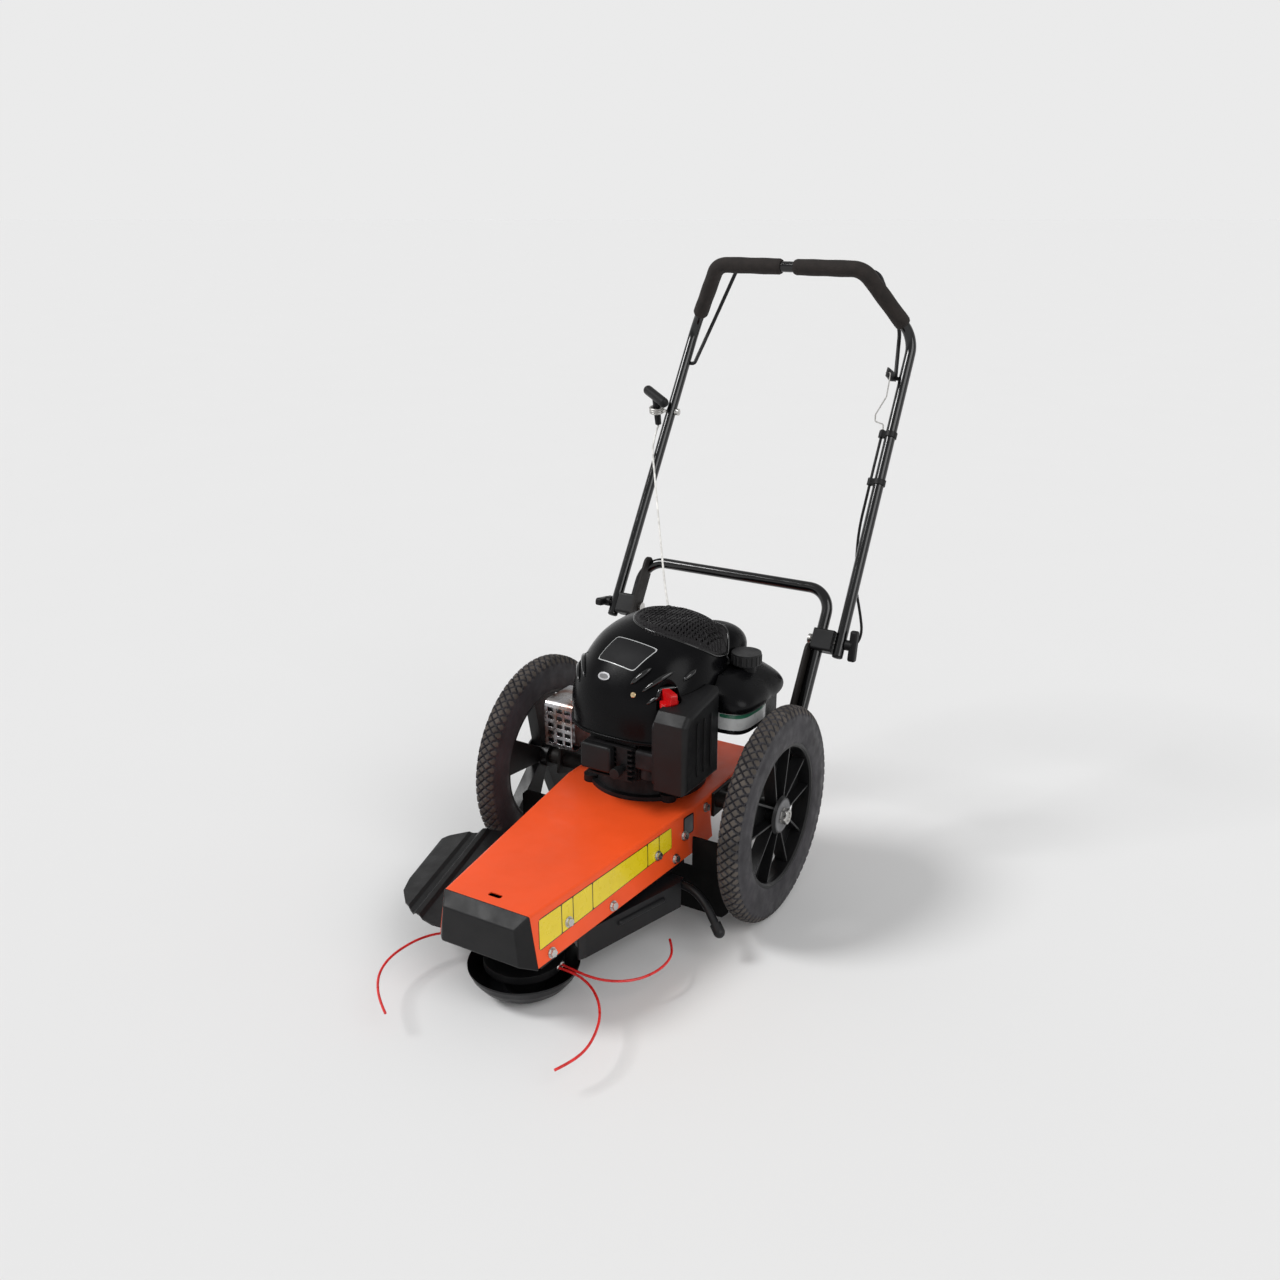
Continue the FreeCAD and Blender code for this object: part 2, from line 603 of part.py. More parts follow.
def handle_run():
    """The direction of the right upper tube, upward."""
    return unit(handle_axis(BEND_Z) - handle_axis(FOLD_Z))


def tube_clip(z):
    """A band round the right tube with a short barrel on its inner side for the control cable."""
    centre, up = handle_axis(z), handle_run()
    band = rod(centre - up * 5, centre + up * 5, TUBE_RADIUS + 2)
    barrel_centre = centre + V(-16, 0, 0)
    neck = box(-15, -8, -4, 4, -5, 5)
    neck.rotate(V(0, 0, 0), X, -math.degrees(LEAN))
    neck.translate(centre)
    barrel = rod(barrel_centre - up * 6, barrel_centre + up * 6, 5.5)
    shape = fuse([band, neck, barrel]).cut(rod(centre - up * 12, centre + up * 12, TUBE_RADIUS))
    return shape.cut(rod(barrel_centre - up * 9, barrel_centre + up * 9, CABLE_DIAMETER / 2 + 0.3))


def cable_clips():
    return group([tube_clip(z) for z in CLIP_HEIGHTS])


def rope_guide():
    """A wire eye on a stud through the left tube, standing outboard of it."""
    base = handle_axis(EYE_Z, LEFT)
    eye = V(-254, base.y + 1, base.z)
    stud = rod(base + X * 17, V(-241, base.y, base.z), STUD_RADIUS)
    nut = rod(base + X * (TUBE_RADIUS + 0.1), base + X * (TUBE_RADIUS + 7), 6.5)
    tilt = stem_run()
    rings = [Part.makeTorus(13, 2.2, eye + tilt * offset, tilt) for offset in (-3.2, 0.8, 4.8)]
    shape = fuse(rings + [stud, nut])
    return shape.cut(rod(eye - tilt * 30, eye + tilt * 30, 9.5))


def stem_run():
    return unit(STEM_TOP - STEM_FOOT)


def starter_grip():
    """The pull handle: a stem through the guide's eye and a rounded bar across its top."""
    across = unit(V(0.8, -0.45, -0.25))
    centre = STEM_TOP + V(0, -1, 6)
    bar = rod(centre - across * 30, centre + across * 30, 9.5)
    ends = [Part.makeSphere(9.5, centre + across * reach) for reach in (-30, 30)]
    stem = Part.makeCone(6.0, 7.6, (STEM_TOP - STEM_FOOT).Length, STEM_FOOT, stem_run())
    return fuse([bar, stem] + ends)


def starter_rope():
    """The rope passes in front of the left tube, then runs taut to the housing."""
    start = STEM_FOOT - stem_run() * 2.3
    points = [start, V(-244, 396, 674), V(-230, 362, 651), V(-202, 322, 626), V(-175, 281, 600.5),
              V(-148, 241, 575.5), V(-121, 200.5, 551), V(-94, 160.5, 526.5), V(-67.5, 121, 503), V(-41, 82, 480.5),
              ROPE_EXIT + V(-1, 2, 1)]
    return cord(points, ROPE_DIAMETER, "starter_rope")


def control_cable():
    """From the bail's lever through both clips, down behind the right leg and into the deck."""
    up, beside = handle_run(), V(-16, 0, 0)
    high, low = [handle_axis(z) + beside for z in CLIP_HEIGHTS]
    points = [high + up * 8, (high + low) * 0.5 + V(-0.6, 0, 0), low - up * 30, V(199, 352, 560), V(197, 352, 505),
              V(204, 340, 452), V(216, 338, 408), V(223, 336, 372), V(213, 335, 346), V(190, 326, 340),
              V(168, 310, 346), V(154, 292, 326), V(150, 270, 290), V(154, 238, 258), V(150, 200, 240),
              V(138, 165, 230), V(122, 138, 226), V(110, 117, 219), V(105, 106, 208), CABLE_END]
    return cord(points, CABLE_DIAMETER, "control_cable")


# ------------------------------------------------------------------ belt drive

def pulley(centre, pitch, bore):
    """A grooved pulley; the belt runs on its pitch radius."""
    back, root, rim_edge = BELT_BACK / 2 + BELT_GAP, BELT_ROOT / 2 + BELT_GAP, pitch + BELT_DEPTH / 2 + 1.5
    floor = pitch - BELT_DEPTH / 2 - BELT_GAP
    side = back + 2.5
    profile = [(-side, bore), (-side, rim_edge), (-back, rim_edge), (-root, floor), (root, floor),
               (back, rim_edge), (side, rim_edge), (side, bore)]
    return lathe(profile, centre, Z, X)


def belt_section(pitch):
    return [(-BELT_ROOT / 2, pitch - BELT_DEPTH / 2), (BELT_ROOT / 2, pitch - BELT_DEPTH / 2),
            (BELT_BACK / 2, pitch + BELT_DEPTH / 2), (-BELT_BACK / 2, pitch + BELT_DEPTH / 2)]


def drive_belt():
    """A V-belt: two arcs on the pulleys and the two straight runs tangent to both."""
    crank, head = V(0, CRANK_Y, BELT_Z), V(0, HEAD_Y, BELT_Z)
    span = CRANK_Y - HEAD_Y
    tilt = math.asin((DRIVEN_PITCH - DRIVE_PITCH) / span)
    pieces = []
    for side in (LEFT, RIGHT):
        normal = V(side * math.cos(tilt), math.sin(tilt), 0)
        start, end = head, crank
        section = [start + normal * radius + Z * height for height, radius in belt_section(DRIVEN_PITCH)]
        run = (end + normal * DRIVE_PITCH) - (start + normal * DRIVEN_PITCH)
        pieces.append(prism(section, run))
    wraps = ((crank, DRIVE_PITCH, math.pi - 2 * tilt, V(math.cos(tilt), math.sin(tilt), 0)),
             (head, DRIVEN_PITCH, math.pi + 2 * tilt, V(-math.cos(tilt), math.sin(tilt), 0)))
    for centre, pitch, angle, start in wraps:
        section = [centre + start * radius + Z * height for height, radius in belt_section(pitch)]
        pieces.append(polygon(section).revolve(centre, Z, math.degrees(angle)))
    return fuse(pieces)


def crankshaft():
    shaft = rod(V(0, CRANK_Y, 138), V(0, CRANK_Y, 430), CRANK_RADIUS)
    return shaft


def drive_pulley():
    centre = V(0, CRANK_Y, BELT_Z)
    body = pulley(centre, DRIVE_PITCH, CRANK_RADIUS)
    hub = ring(centre + Z * 8, centre + Z * 24, 20, CRANK_RADIUS)
    return body.fuse(hub).removeSplitter()


def driven_pulley():
    return pulley(V(0, HEAD_Y, BELT_Z), DRIVEN_PITCH, SPINDLE_RADIUS)


def spindle():
    shaft = rod(V(0, HEAD_Y, 26), V(0, HEAD_Y, 166), SPINDLE_RADIUS)
    nut = rod(V(0, HEAD_Y, 160), V(0, HEAD_Y, 170), 14)
    return fuse([shaft, nut])


def spindle_housing():
    """A flanged bearing housing bolted up under the pan."""
    centre = V(0, HEAD_Y, 0)
    body = ring(centre + Z * 68, centre + Z * 130, 21.5, 17)
    flange = ring(centre + Z * 98, centre + Z * 103.8, 38, 17)
    studs = [rod(centre + V(30 * c, 30 * s, 92), centre + V(30 * c, 30 * s, 98), 5)
             for c, s in ((1, 0), (0, 1), (-1, 0), (0, -1))]
    return fuse([body, flange] + studs)


def spindle_bearings():
    centre = V(0, HEAD_Y, 0)
    return group([ring(centre + Z * z, centre + Z * (z + 12), 17, SPINDLE_RADIUS + RUNNING_FIT) for z in (70, 115)])


def ground_disc():
    """The dished disc that slides over the ground under the lines."""
    profile = [(0, 0), (0, 34), (6, 54), (18, 69), (31, 79), (42, DISC_RADIUS), (45, DISC_RADIUS), (33, 76),
               (20, 66), (9, 52), (3, 33), (3, 0)]
    return lathe(profile, V(0, HEAD_Y, 0), Z, X)


def line_hub():
    """The block between disc and housing that grips the lines, with an exit for each."""
    centre = V(0, HEAD_Y, 0)
    core = lathe([(3.2, 0), (3.2, 30), (20, 36), (LINE_EXIT_Z - 6, 44), (LINE_EXIT_Z - 6, 60),
                  (LINE_EXIT_Z + 6, 60), (LINE_EXIT_Z + 6, 30), (66, 24), (66, 0)], centre, Z, X)
    bore = rod(centre + Z * 25.5, centre + Z * 70, SPINDLE_RADIUS)
    return core.cut(bore).cut([line_path_socket(points) for points in LINES.values()])


def line_path_socket(points):
    """The hole that a line leaves by: it goes 12 mm into the hub behind the line's first point."""
    inward = unit(points[0] - points[1])
    return rod(points[0] - inward * 8, points[0] + inward * 14, LINE_DIAMETER / 2)


LINES = {
    "right": [V(54, -408, LINE_EXIT_Z), V(84, -406, LINE_EXIT_Z), V(118, -416, 47.5), V(147, -438, 46.5),
              V(170, -468, 45), V(184, -502, 44), V(191, -537, 43), V(186, -568, 42), V(176, -590, 41)],
    "rear": [V(54, -398, LINE_EXIT_Z), V(84, -402, LINE_EXIT_Z), V(118, -402, 47.5), V(149, -391, 46.5),
             V(173, -368, 45.5), V(186, -336, 45), V(187, -303, 44.5), V(177, -275, 44), V(160, -254, 44)],
    "left": [V(-54, -406, LINE_EXIT_Z), V(-86, -404, LINE_EXIT_Z), V(-118, -406, 48), V(-147, -418, 47),
             V(-167, -443, 46), V(-176, -475, 45), V(-177, -510, 44), V(-166, -544, 43), V(-144, -573, 42),
             V(-116, -597, 41), V(-96, -610, 40)],
}


def trimmer_line(name):
    return cord(LINES[name], LINE_DIAMETER, "line_" + name)


def idler_arm():
    """A flat arm that swings about a bolt on the pan and carries the idler pulley's pin."""
    z0, z1 = BELT_Z - 14, BELT_Z - 10
    pivot, centre = V(IDLER_PIVOT.x, IDLER_PIVOT.y, z0), V(IDLER_CENTRE.x, IDLER_CENTRE.y, z0)
    run = unit(centre - pivot)
    across = V(-run.y, run.x, 0) * 11
    bar = prism([pivot - across, centre - across, centre + across, pivot + across], Z * (z1 - z0))
    ends = [rod(point, point + Z * (z1 - z0), 11) for point in (pivot, centre)]
    pin = rod(centre + Z * (z1 - z0), centre + Z * 22, 5)
    sleeve = rod(pivot - Z * 20, pivot, 9)
    tail = prism([pivot - across, pivot + across, pivot - run * 26 + across * 0.5, pivot - run * 26 - across * 0.5],
                 Z * (z1 - z0))
    bore = rod(pivot - Z * 25, pivot + Z * 10, 5 + RUNNING_FIT)
    return fuse([bar, tail, pin, sleeve] + ends).cut(bore)


def idler_stud():
    """The pin on the pan that the idler arm swings about, with its retaining head."""
    pivot = V(IDLER_PIVOT.x, IDLER_PIVOT.y, PAN_TOP - 1)
    return fuse([rod(pivot, pivot + Z * 37, 5), rod(pivot + Z * 35, pivot + Z * 41, 9)])


def idler_pulley():
    """A flat-faced pulley that presses on the belt's back."""
    half = BELT_BACK / 2 + 1.5
    profile = [(-half - 2, 5 + RUNNING_FIT), (-half - 2, IDLER_RADIUS + 1.5), (-half, IDLER_RADIUS + 1.5),
               (-half, IDLER_RADIUS), (half, IDLER_RADIUS), (half, IDLER_RADIUS + 1.5), (half + 2, IDLER_RADIUS + 1.5),
               (half + 2, 5 + RUNNING_FIT)]
    return lathe(profile, IDLER_CENTRE, Z, X)


# ------------------------------------------------------------------ engine

def shroud_rings(inset, levels):
    """Rings of the blower housing from its skirt upward, each (height, x, y, half x, half y, power)."""
    rings = []
    for z, x, y, half_x, half_y, power in levels:
        height = z - (inset if z > SHROUD_BOTTOM else 1 if inset else 0)
        rings.append(oval(V(x, y, height), half_x - inset, half_y - inset, power))
    return rings


def shroud_body(inset):
    """A dome, with a lower lobe toward the fuel tank."""
    dome = [(SHROUD_BOTTOM, 6, -38, 122, 130, 2.6), (350, 6, -38, 122, 130, 2.6), (385, 8, -36, 119, 125, 2.5),
            (415, 10, -30, 110, 113, 2.4), (440, 12, -24, 97, 98, 2.3), (458, 14, -18, 77, 77, 2.2),
            (SHROUD_TOP, 14, -14, 48, 48, 2.1)]
    lobe = [(SHROUD_BOTTOM, 60, 30, 60, 60, 2.4), (400, 66, 46, 56, 54, 2.4), (428, 70, 50, 50, 47, 2.4),
            (443, 72, 48, 36, 34, 2.3), (450, 72, 46, 18, 17, 2.2)]
    return Part.makeLoft(shroud_rings(inset, dome), True, False).fuse(
        Part.makeLoft(shroud_rings(inset, lobe), True, False))


def screen_zone(gap):
    """The upright oval column that holds the starter screen in the crown of the housing."""
    ring_wire = oval(SCREEN_CENTRE + Z * SHROUD_BOTTOM, SCREEN_HALF_X + gap, SCREEN_HALF_Y + gap, 2.4)
    return Part.Face(ring_wire).extrude(V(0, 0, SHROUD_TOP - SHROUD_BOTTOM + 20))


def filler_gap(play):
    """The upright space kept clear round the oil filler tube and its cap."""
    return fuse([rod(FILLER + Z * 236, FILLER + Z * 430, 11.5 + play),
                 rod(FILLER + Z * (FILLER_TOP - 6), FILLER + Z * 430, 19 + play)])


def blower_housing():
    """The moulded shell over the flywheel, with a bushed hole for the starter rope."""
    shell = shroud_body(0).cut(shroud_body(SHROUD_WALL))
    along = unit(V(-206, 320, 198))
    eyelet = rod(ROPE_EXIT - along * 10, ROPE_EXIT + along * 3, 6.5)
    rope_hole = rod(ROPE_EXIT - along * 30, ROPE_EXIT + along * 10, ROPE_DIAMETER / 2 + 0.6)
    return biggest(shell.fuse(eyelet).cut([screen_zone(0.3), filler_gap(0.5), rope_hole]))


def starter_screen():
    """The slotted crown panel that the cooling air comes in through."""
    panel = shroud_body(0).cut(shroud_body(SHROUD_WALL)).common(screen_zone(0))
    slots = []
    for index in range(-9, 10):
        x = SCREEN_CENTRE.x + index * 6.8
        reach = (SCREEN_HALF_Y - 10) * math.sqrt(1 - (index / 10.5) ** 2)
        slots.append(box(x - 1.4, x + 1.4, SCREEN_CENTRE.y - reach, SCREEN_CENTRE.y + reach, 350, 500))
    return biggest(panel.cut(slots))


def flywheel():
    """Finned wheel under the screen, fixed to the crankshaft."""
    centre = V(0, CRANK_Y, 0)
    hub = ring(centre + Z * 330, centre + Z * 372, 92, CRANK_RADIUS)
    fins = []
    for index in range(16):
        fin = box(58, 90, -1.5, 1.5, 372, 390)
        fin.rotate(V(0, 0, 0), Z, 360 * index / 16)
        fin.translate(V(0, CRANK_Y, 0))
        fins.append(fin)
    return fuse([hub] + fins)


def engine_sump():
    centre = V(0, CRANK_Y, 0)
    flange = rod(centre + Z * ENGINE_BASE, centre + Z * (ENGINE_BASE + 7), 98)
    bowl = Part.makeCone(88, 82, 33, centre + Z * (ENGINE_BASE + 7), Z)
    lugs = []
    for angle in (40, 140, 220, 320):
        a = math.radians(angle)
        foot = centre + V(math.cos(a) * 96, math.sin(a) * 96, ENGINE_BASE)
        lugs.append(rod(foot, foot + Z * 12, 13))
    shape = fuse([flange, bowl] + lugs)
    return shape.cut(rod(centre + Z * 190, centre + Z * 250, CRANK_RADIUS + RUNNING_FIT))


def engine_block():
    """Crankcase with the finned cylinder pointing forward."""
    centre = V(0, CRANK_Y, 0)
    top = ENGINE_BASE + 40
    case = rod(centre + Z * top, centre + Z * 300, 80)
    barrel = box(-30, 30, -150, CRANK_Y - 40, 246, 302)
    fins = [box(-44, 44, y, y + 2.6, 238, 306) for y in range(-150, -122, 6)]
    shape = fuse([case, barrel] + fins)
    return shape.cut(rod(centre + Z * 230, centre + Z * 310, CRANK_RADIUS + RUNNING_FIT))


def cylinder_head():
    slab = box(-42, 42, -158, -150.2, 240, 304)
    fins = [box(-42, 42, -170, -158, z, z + 2.6) for z in range(244, 304, 9)]
    return fuse([slab] + fins + [box(14, 34, -170, -158, 244, 300)])


def rocker_cover():
    body = rounded(box(-44, 12, -186, -170.2, 258, 302), 6, Y)
    return rounded(body, 4, X)


def spark_plug():
    """The plug with its rubber boot beside the rocker cover."""
    start = V(26, -170.2, 266)
    return fuse([rod(start, start - Y * 12, 6), rod(start - Y * 12, start - Y * 26, 8.5)])


def carburetor():
    body = rounded(box(48, 80, -168, -134, 268, 300), 5, X)
    bowl = rod(V(64, -151, 252), V(64, -151, 269), 14)
    throat = rod(V(79, -162, 284), V(85, -162, 284), 7)
    return fuse([body, bowl, throat, intake_plate()])


def intake_plate():
    """The air cleaner's back plate, bolted to the carburetor."""
    plate = rounded(box(84.2, 92, -180, -84, 254, 360), 10, X)
    return biggest(plate.cut([shroud_body(-1), filler_gap(0.5)]))


def air_cleaner_cover():
    front, rear, inner, outer = -188, -76, 92.3, 148
    outline = [V(inner, front, 252), V(inner, rear, 252), V(inner, rear, 396), V(inner, front + 14, 380),
               V(inner, front, 366)]
    body = prism(outline, X * (outer - inner))
    long_edges = [edge for edge in body.Edges if edge.BoundBox.XMin > outer - 1]
    body = body.makeFillet(9, long_edges)
    return biggest(body.cut([shroud_body(-1), filler_gap(0.5)]))


def fuel_tank():
    """A moulded tank that wraps the housing's right rear, with a filler neck."""
    well = [oval(V(116, 8, z), 68, 76, 5) for z in (314, 352)]
    top = [oval(V(118, 8, 350), 72, 80, 4.5), oval(V(118, 8, 362), 76, 84, 4.5), oval(V(112, 10, 382), 66, 75, 4),
           oval(V(104, 12, 400), 46, 58, 3.2)]
    body = Part.makeLoft(well, True, False).fuse(Part.makeLoft(top, True, False))
    body = body.cut(shroud_body(-2.2))
    cleaner = box(80, 152, -190, -73, 240, 400)
    neck = rod(CAP_CENTRE + Z * 385, CAP_CENTRE + Z * 412, NECK_RADIUS)
    return biggest(body.cut(cleaner).fuse(neck))


def fuel_cap():
    lid = ring(CAP_CENTRE + Z * 405, CAP_CENTRE + Z * 424, CAP_RADIUS, NECK_RADIUS + 0.4)
    top = rod(CAP_CENTRE + Z * 412.4, CAP_CENTRE + Z * 424, CAP_RADIUS)
    ribs = []
    for index in range(18):
        angle = 2 * math.pi * index / 18
        foot = CAP_CENTRE + V(math.cos(angle), math.sin(angle), 0) * (CAP_RADIUS - 0.4) + Z * 407
        ribs.append(rod(foot, foot + Z * 14, 1.8))
    return fuse([lid, top] + ribs)


def muffler():
    body = rounded(box(-166, -118, -88, -14, 232, 306), 14, X)
    stub = rod(V(-118.5, -52, 272), V(-80.3, -52, 272), 10)
    return fuse([body, stub])


def muffler_guard():
    """A slotted heat guard over the muffler's front, outer side and top."""
    wall = 1.6
    outer = rounded(box(-174, -119, -96, -8, 226, 313), 12, X)
    inner = rounded(box(-174 + wall, -100, -96 + wall, -8 - wall, 226 + wall, 313 - wall), 11, X)
    shell = outer.cut(inner)
    slots = []
    for row in range(5):
        z = 238 + row * 14
        slots += [box(x, x + 12, -100, -90, z, z + 8) for x in (-168, -150, -134)]
        slots += [box(-180, -170, y, y + 20, z, z + 8) for y in (-84, -58, -32)]
    return shell.cut(slots)


def filler_tube():
    """The oil filler: a slanted foot on the sump and an upright tube up past the housing."""
    bend, foot = FILLER + Z * 244, V(56, -106, 222)
    outer = fuse([rod(bend, FILLER + Z * FILLER_TOP, 11), Part.makeSphere(11, bend), rod(bend, foot, 11)])
    inner = fuse([rod(bend, FILLER + Z * (FILLER_TOP + 1), 8.5), Part.makeSphere(8.5, bend), rod(bend, foot, 8.5)])
    return biggest(outer.cut([inner, engine_sump()]))


def dipstick():
    """The red oil cap with its wing grip and the stick below it."""
    flange = rod(FILLER + Z * (FILLER_TOP + 0.3), FILLER + Z * 383, 14.5)
    wing = rounded(box(-18, 18, -5.5, 5.5, 0, 18), 4, Y)
    wing.rotate(V(0, 0, 0), Z, -35)
    wing.translate(FILLER + Z * 382)
    stick = rod(FILLER + Z * 246, FILLER + Z * 375, 3)
    plug = rod(FILLER + Z * 360, FILLER + Z * 375, 8.0)
    return fuse([flange, wing, stick, plug])


# ------------------------------------------------------------------ all nodes

NODES = {
    "belt_cover": belt_cover,
    "bumper": bumper,
    "deck_frame": deck_frame,
    "deck_pan": deck_pan,
    "debris_shield": debris_shield,
    "rear_flap": rear_flap,
    "guide_arm": guide_arm,
    "cover_bolts": cover_bolts,
    "stub_axles": stub_axles,
    "lower_handle": lower_handle,
    "clamp_blocks": clamp_blocks,
    "fold_bolts": fold_bolts,
    "upper_handle_tube": upper_handle,
    "foam_grips": grips,
    "bail_rod": bail,
    "cable_clips": cable_clips,
    "rope_guide": rope_guide,
    "starter_grip": starter_grip,
    "starter_rope": starter_rope,
    "control_cable": control_cable,
    "drive_belt": drive_belt,
    "crankshaft": crankshaft,
    "drive_pulley": drive_pulley,
    "flywheel": flywheel,
    "driven_pulley": driven_pulley,
    "spindle": spindle,
    "spindle_housing": spindle_housing,
    "spindle_bearings": spindle_bearings,
    "ground_disc": ground_disc,
    "line_hub": line_hub,
    "idler_arm": idler_arm,
    "idler_pulley": idler_pulley,
    "blower_housing": blower_housing,
    "starter_screen": starter_screen,
    "engine_sump": engine_sump,
    "engine_block": engine_block,
    "cylinder_head": cylinder_head,
    "rocker_cover": rocker_cover,
    "spark_plug": spark_plug,
    "carburetor": carburetor,
    "air_cleaner_cover": air_cleaner_cover,
    "fuel_tank": fuel_tank,
    "fuel_cap": fuel_cap,
    "muffler": muffler,
    "muffler_guard": muffler_guard,
    "filler_tube": filler_tube,
    "dipstick": dipstick,
}
SIDED_NODES = {
    "tyre": tyre,
    "rim": rim,
    "hub_bushes": hub_bushes,
    "side_frame": side_frame,
    "clamp_knob": clamp_knob,
}


def main():
    os.makedirs("parts", exist_ok=True)
    shapes = {name: build() for name, build in NODES.items()}
    for name, build in SIDED_NODES.items():
        for side_name, side in SIDES.items():
            shapes[name + "_" + side_name] = build(side)
    for name in LINES:
        shapes["line_" + name] = trimmer_line(name)
    for name, shape in shapes.items():
        if not shape.isValid() or not shape.Solids:
            print("check", name, shape.isValid(), len(shape.Solids))
        shape.translate(V(0, -HEAD_Y, 0))
        shape.exportStep(os.path.join("parts", name + ".step"))
    print(len(shapes), "nodes")


main()
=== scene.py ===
import math

import bpy
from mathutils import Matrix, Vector
from mathutils.bvhtree import BVHTree


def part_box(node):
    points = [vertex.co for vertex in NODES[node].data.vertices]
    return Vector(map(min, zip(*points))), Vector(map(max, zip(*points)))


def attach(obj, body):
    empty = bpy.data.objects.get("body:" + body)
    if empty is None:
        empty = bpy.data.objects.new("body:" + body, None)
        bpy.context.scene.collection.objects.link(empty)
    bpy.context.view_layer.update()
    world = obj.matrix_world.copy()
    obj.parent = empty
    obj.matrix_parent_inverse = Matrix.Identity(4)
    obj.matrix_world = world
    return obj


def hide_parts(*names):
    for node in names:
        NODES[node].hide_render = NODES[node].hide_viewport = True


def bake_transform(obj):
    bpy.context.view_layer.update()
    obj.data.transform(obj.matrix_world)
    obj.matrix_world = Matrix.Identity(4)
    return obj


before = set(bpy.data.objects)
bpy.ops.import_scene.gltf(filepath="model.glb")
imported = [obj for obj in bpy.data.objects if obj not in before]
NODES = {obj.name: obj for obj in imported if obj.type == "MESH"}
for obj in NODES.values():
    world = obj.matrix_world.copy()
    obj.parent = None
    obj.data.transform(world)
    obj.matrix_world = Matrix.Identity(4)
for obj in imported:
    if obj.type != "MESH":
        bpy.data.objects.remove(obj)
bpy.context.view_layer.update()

# Looks of a walk-behind brush mower. Metres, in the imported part's frame: +Z up, nose to -Y, +X to the right
# as seen from in front. Routes and places are measured from the deck's own datum, 412 mm behind the head.

X, Y, Z = Vector((1, 0, 0)), Vector((0, 1, 0)), Vector((0, 0, 1))
SIDES = {"left": -1, "right": 1}


def centre_of(node):
    low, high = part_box(node)
    return (low + high) / 2


HEAD_Y = -0.412
DATUM = Vector((0, centre_of("spindle").y - HEAD_Y, 0))


def at(x, y, z):
    """A place measured from the deck's datum."""
    return DATUM + Vector((x, y, z))


# ------------------------------------------------------------------ mesh builders

def new_piece(name, verts, faces, sharp=40):
    mesh = bpy.data.meshes.new(name)
    mesh.from_pydata([tuple(v) for v in verts], [], faces)
    mesh.validate()
    mesh.polygons.foreach_set("use_smooth", [True] * len(mesh.polygons))
    mesh.set_sharp_from_angle(angle=math.radians(sharp))
    piece = bpy.data.objects.new(name, mesh)
    bpy.context.scene.collection.objects.link(piece)
    return piece


def place(piece, body, material, replaces=()):
    piece.data.materials.append(material)
    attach(piece, body)
    if replaces:
        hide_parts(*replaces)


def turns(count):
    return [2 * math.pi * step / count for step in range(count)]


def ring_faces(rings, around, closed=False):
    """Quads between rings of vertices, with both ends capped unless the rings close on themselves."""
    faces = []
    for ring in range(rings if closed else rings - 1):
        low, high = ring * around, (ring + 1) % rings * around
        faces += [(low + i, low + (i + 1) % around, high + (i + 1) % around, high + i) for i in range(around)]
    if not closed:
        faces += [tuple(reversed(range(around))), tuple((rings - 1) * around + i for i in range(around))]
    return faces


def tube_mesh(path, radius, around):
    """The vertices of a closed round tube; radius is a number, or a function of the share of its length."""
    thick = radius if callable(radius) else lambda share: radius
    reach = [0.0]
    for start, end in zip(path, path[1:]):
        reach.append(reach[-1] + (end - start).length)
    side = (path[1] - path[0]).orthogonal()
    verts = []
    for index, point in enumerate(path):
        ahead = (path[min(index + 1, len(path) - 1)] - path[max(index - 1, 0)]).normalized()
        side = (side - ahead * side.dot(ahead)).normalized()
        other = ahead.cross(side)
        size = thick(reach[index] / reach[-1])
        verts += [point + (side * math.cos(a) + other * math.sin(a)) * size for a in turns(around)]
    return verts, ring_faces(len(path), around)


def tube(name, path, radius, around=16):
    return new_piece(name, *tube_mesh(path, radius, around))


def tubes(name, paths, radius, around=8):
    """Several tubes as one piece."""
    verts, faces = [], []
    for path in paths:
        more_verts, more_faces = tube_mesh(path, radius, around)
        faces += [tuple(len(verts) + index for index in face) for face in more_faces]
        verts += more_verts
    return new_piece(name, verts, faces)


def lathe(name, profile, origin, axis, around=64):
    """Turns an open profile of (along the axis, radius) points that starts and ends near the axis."""
    side = axis.orthogonal().normalized()
    other = axis.cross(side)
    verts = []
    for along, radius in profile:
        middle = origin + axis * along
        verts += [middle + (side * math.cos(a) + other * math.sin(a)) * radius for a in turns(around)]
    return new_piece(name, verts, ring_faces(len(profile), around), sharp=30)


ROUTE_STEPS = 10


def smooth_path(route):
    """Points read from the smooth line that a route's control points give."""
    curve = bpy.data.curves.new("route", "CURVE")
    curve.dimensions = "3D"
    curve.resolution_u = ROUTE_STEPS
    spline = curve.splines.new("NURBS")
    spline.points.add(len(route) - 1)
    for control, point in zip(spline.points, route):
        control.co = (*point, 1)
    spline.order_u = 3
    spline.use_endpoint_u = True
    holder = bpy.data.objects.new("route", curve)
    line = bpy.data.meshes.new_from_object(holder)
    path = [vertex.co.copy() for vertex in line.vertices]
    bpy.data.objects.remove(holder)
    return path


def bent_path(points, radii, steps=10):
    """Straight runs joined by tangent arcs, as the handle's tubes are bent."""
    path = [points[0]]
    for before, corner, after, radius in zip(points, points[1:], points[2:], radii):
        back, ahead = (before - corner).normalized(), (after - corner).normalized()
        half = back.angle(ahead) / 2
        middle = corner + (back + ahead).normalized() * (radius / math.sin(half))
        first = corner + back * (radius / math.tan(half)) - middle
        last = corner + ahead * (radius / math.tan(half)) - middle
        path += [middle + first.slerp(last, step / steps) * radius for step in range(steps + 1)]
    return path + [points[-1]]


CAST_REACH = 0.15


def surface_of(*nodes):
    """Something to cast decals onto: the faces of these CAD nodes."""
    verts, faces = [], []
    for node in nodes:
        start = len(verts)
        verts += [vertex.co.copy() for vertex in NODES[node].data.vertices]
        faces += [[start + index for index in polygon.vertices] for polygon in NODES[node].data.polygons]
    return BVHTree.FromPolygons(verts, faces)


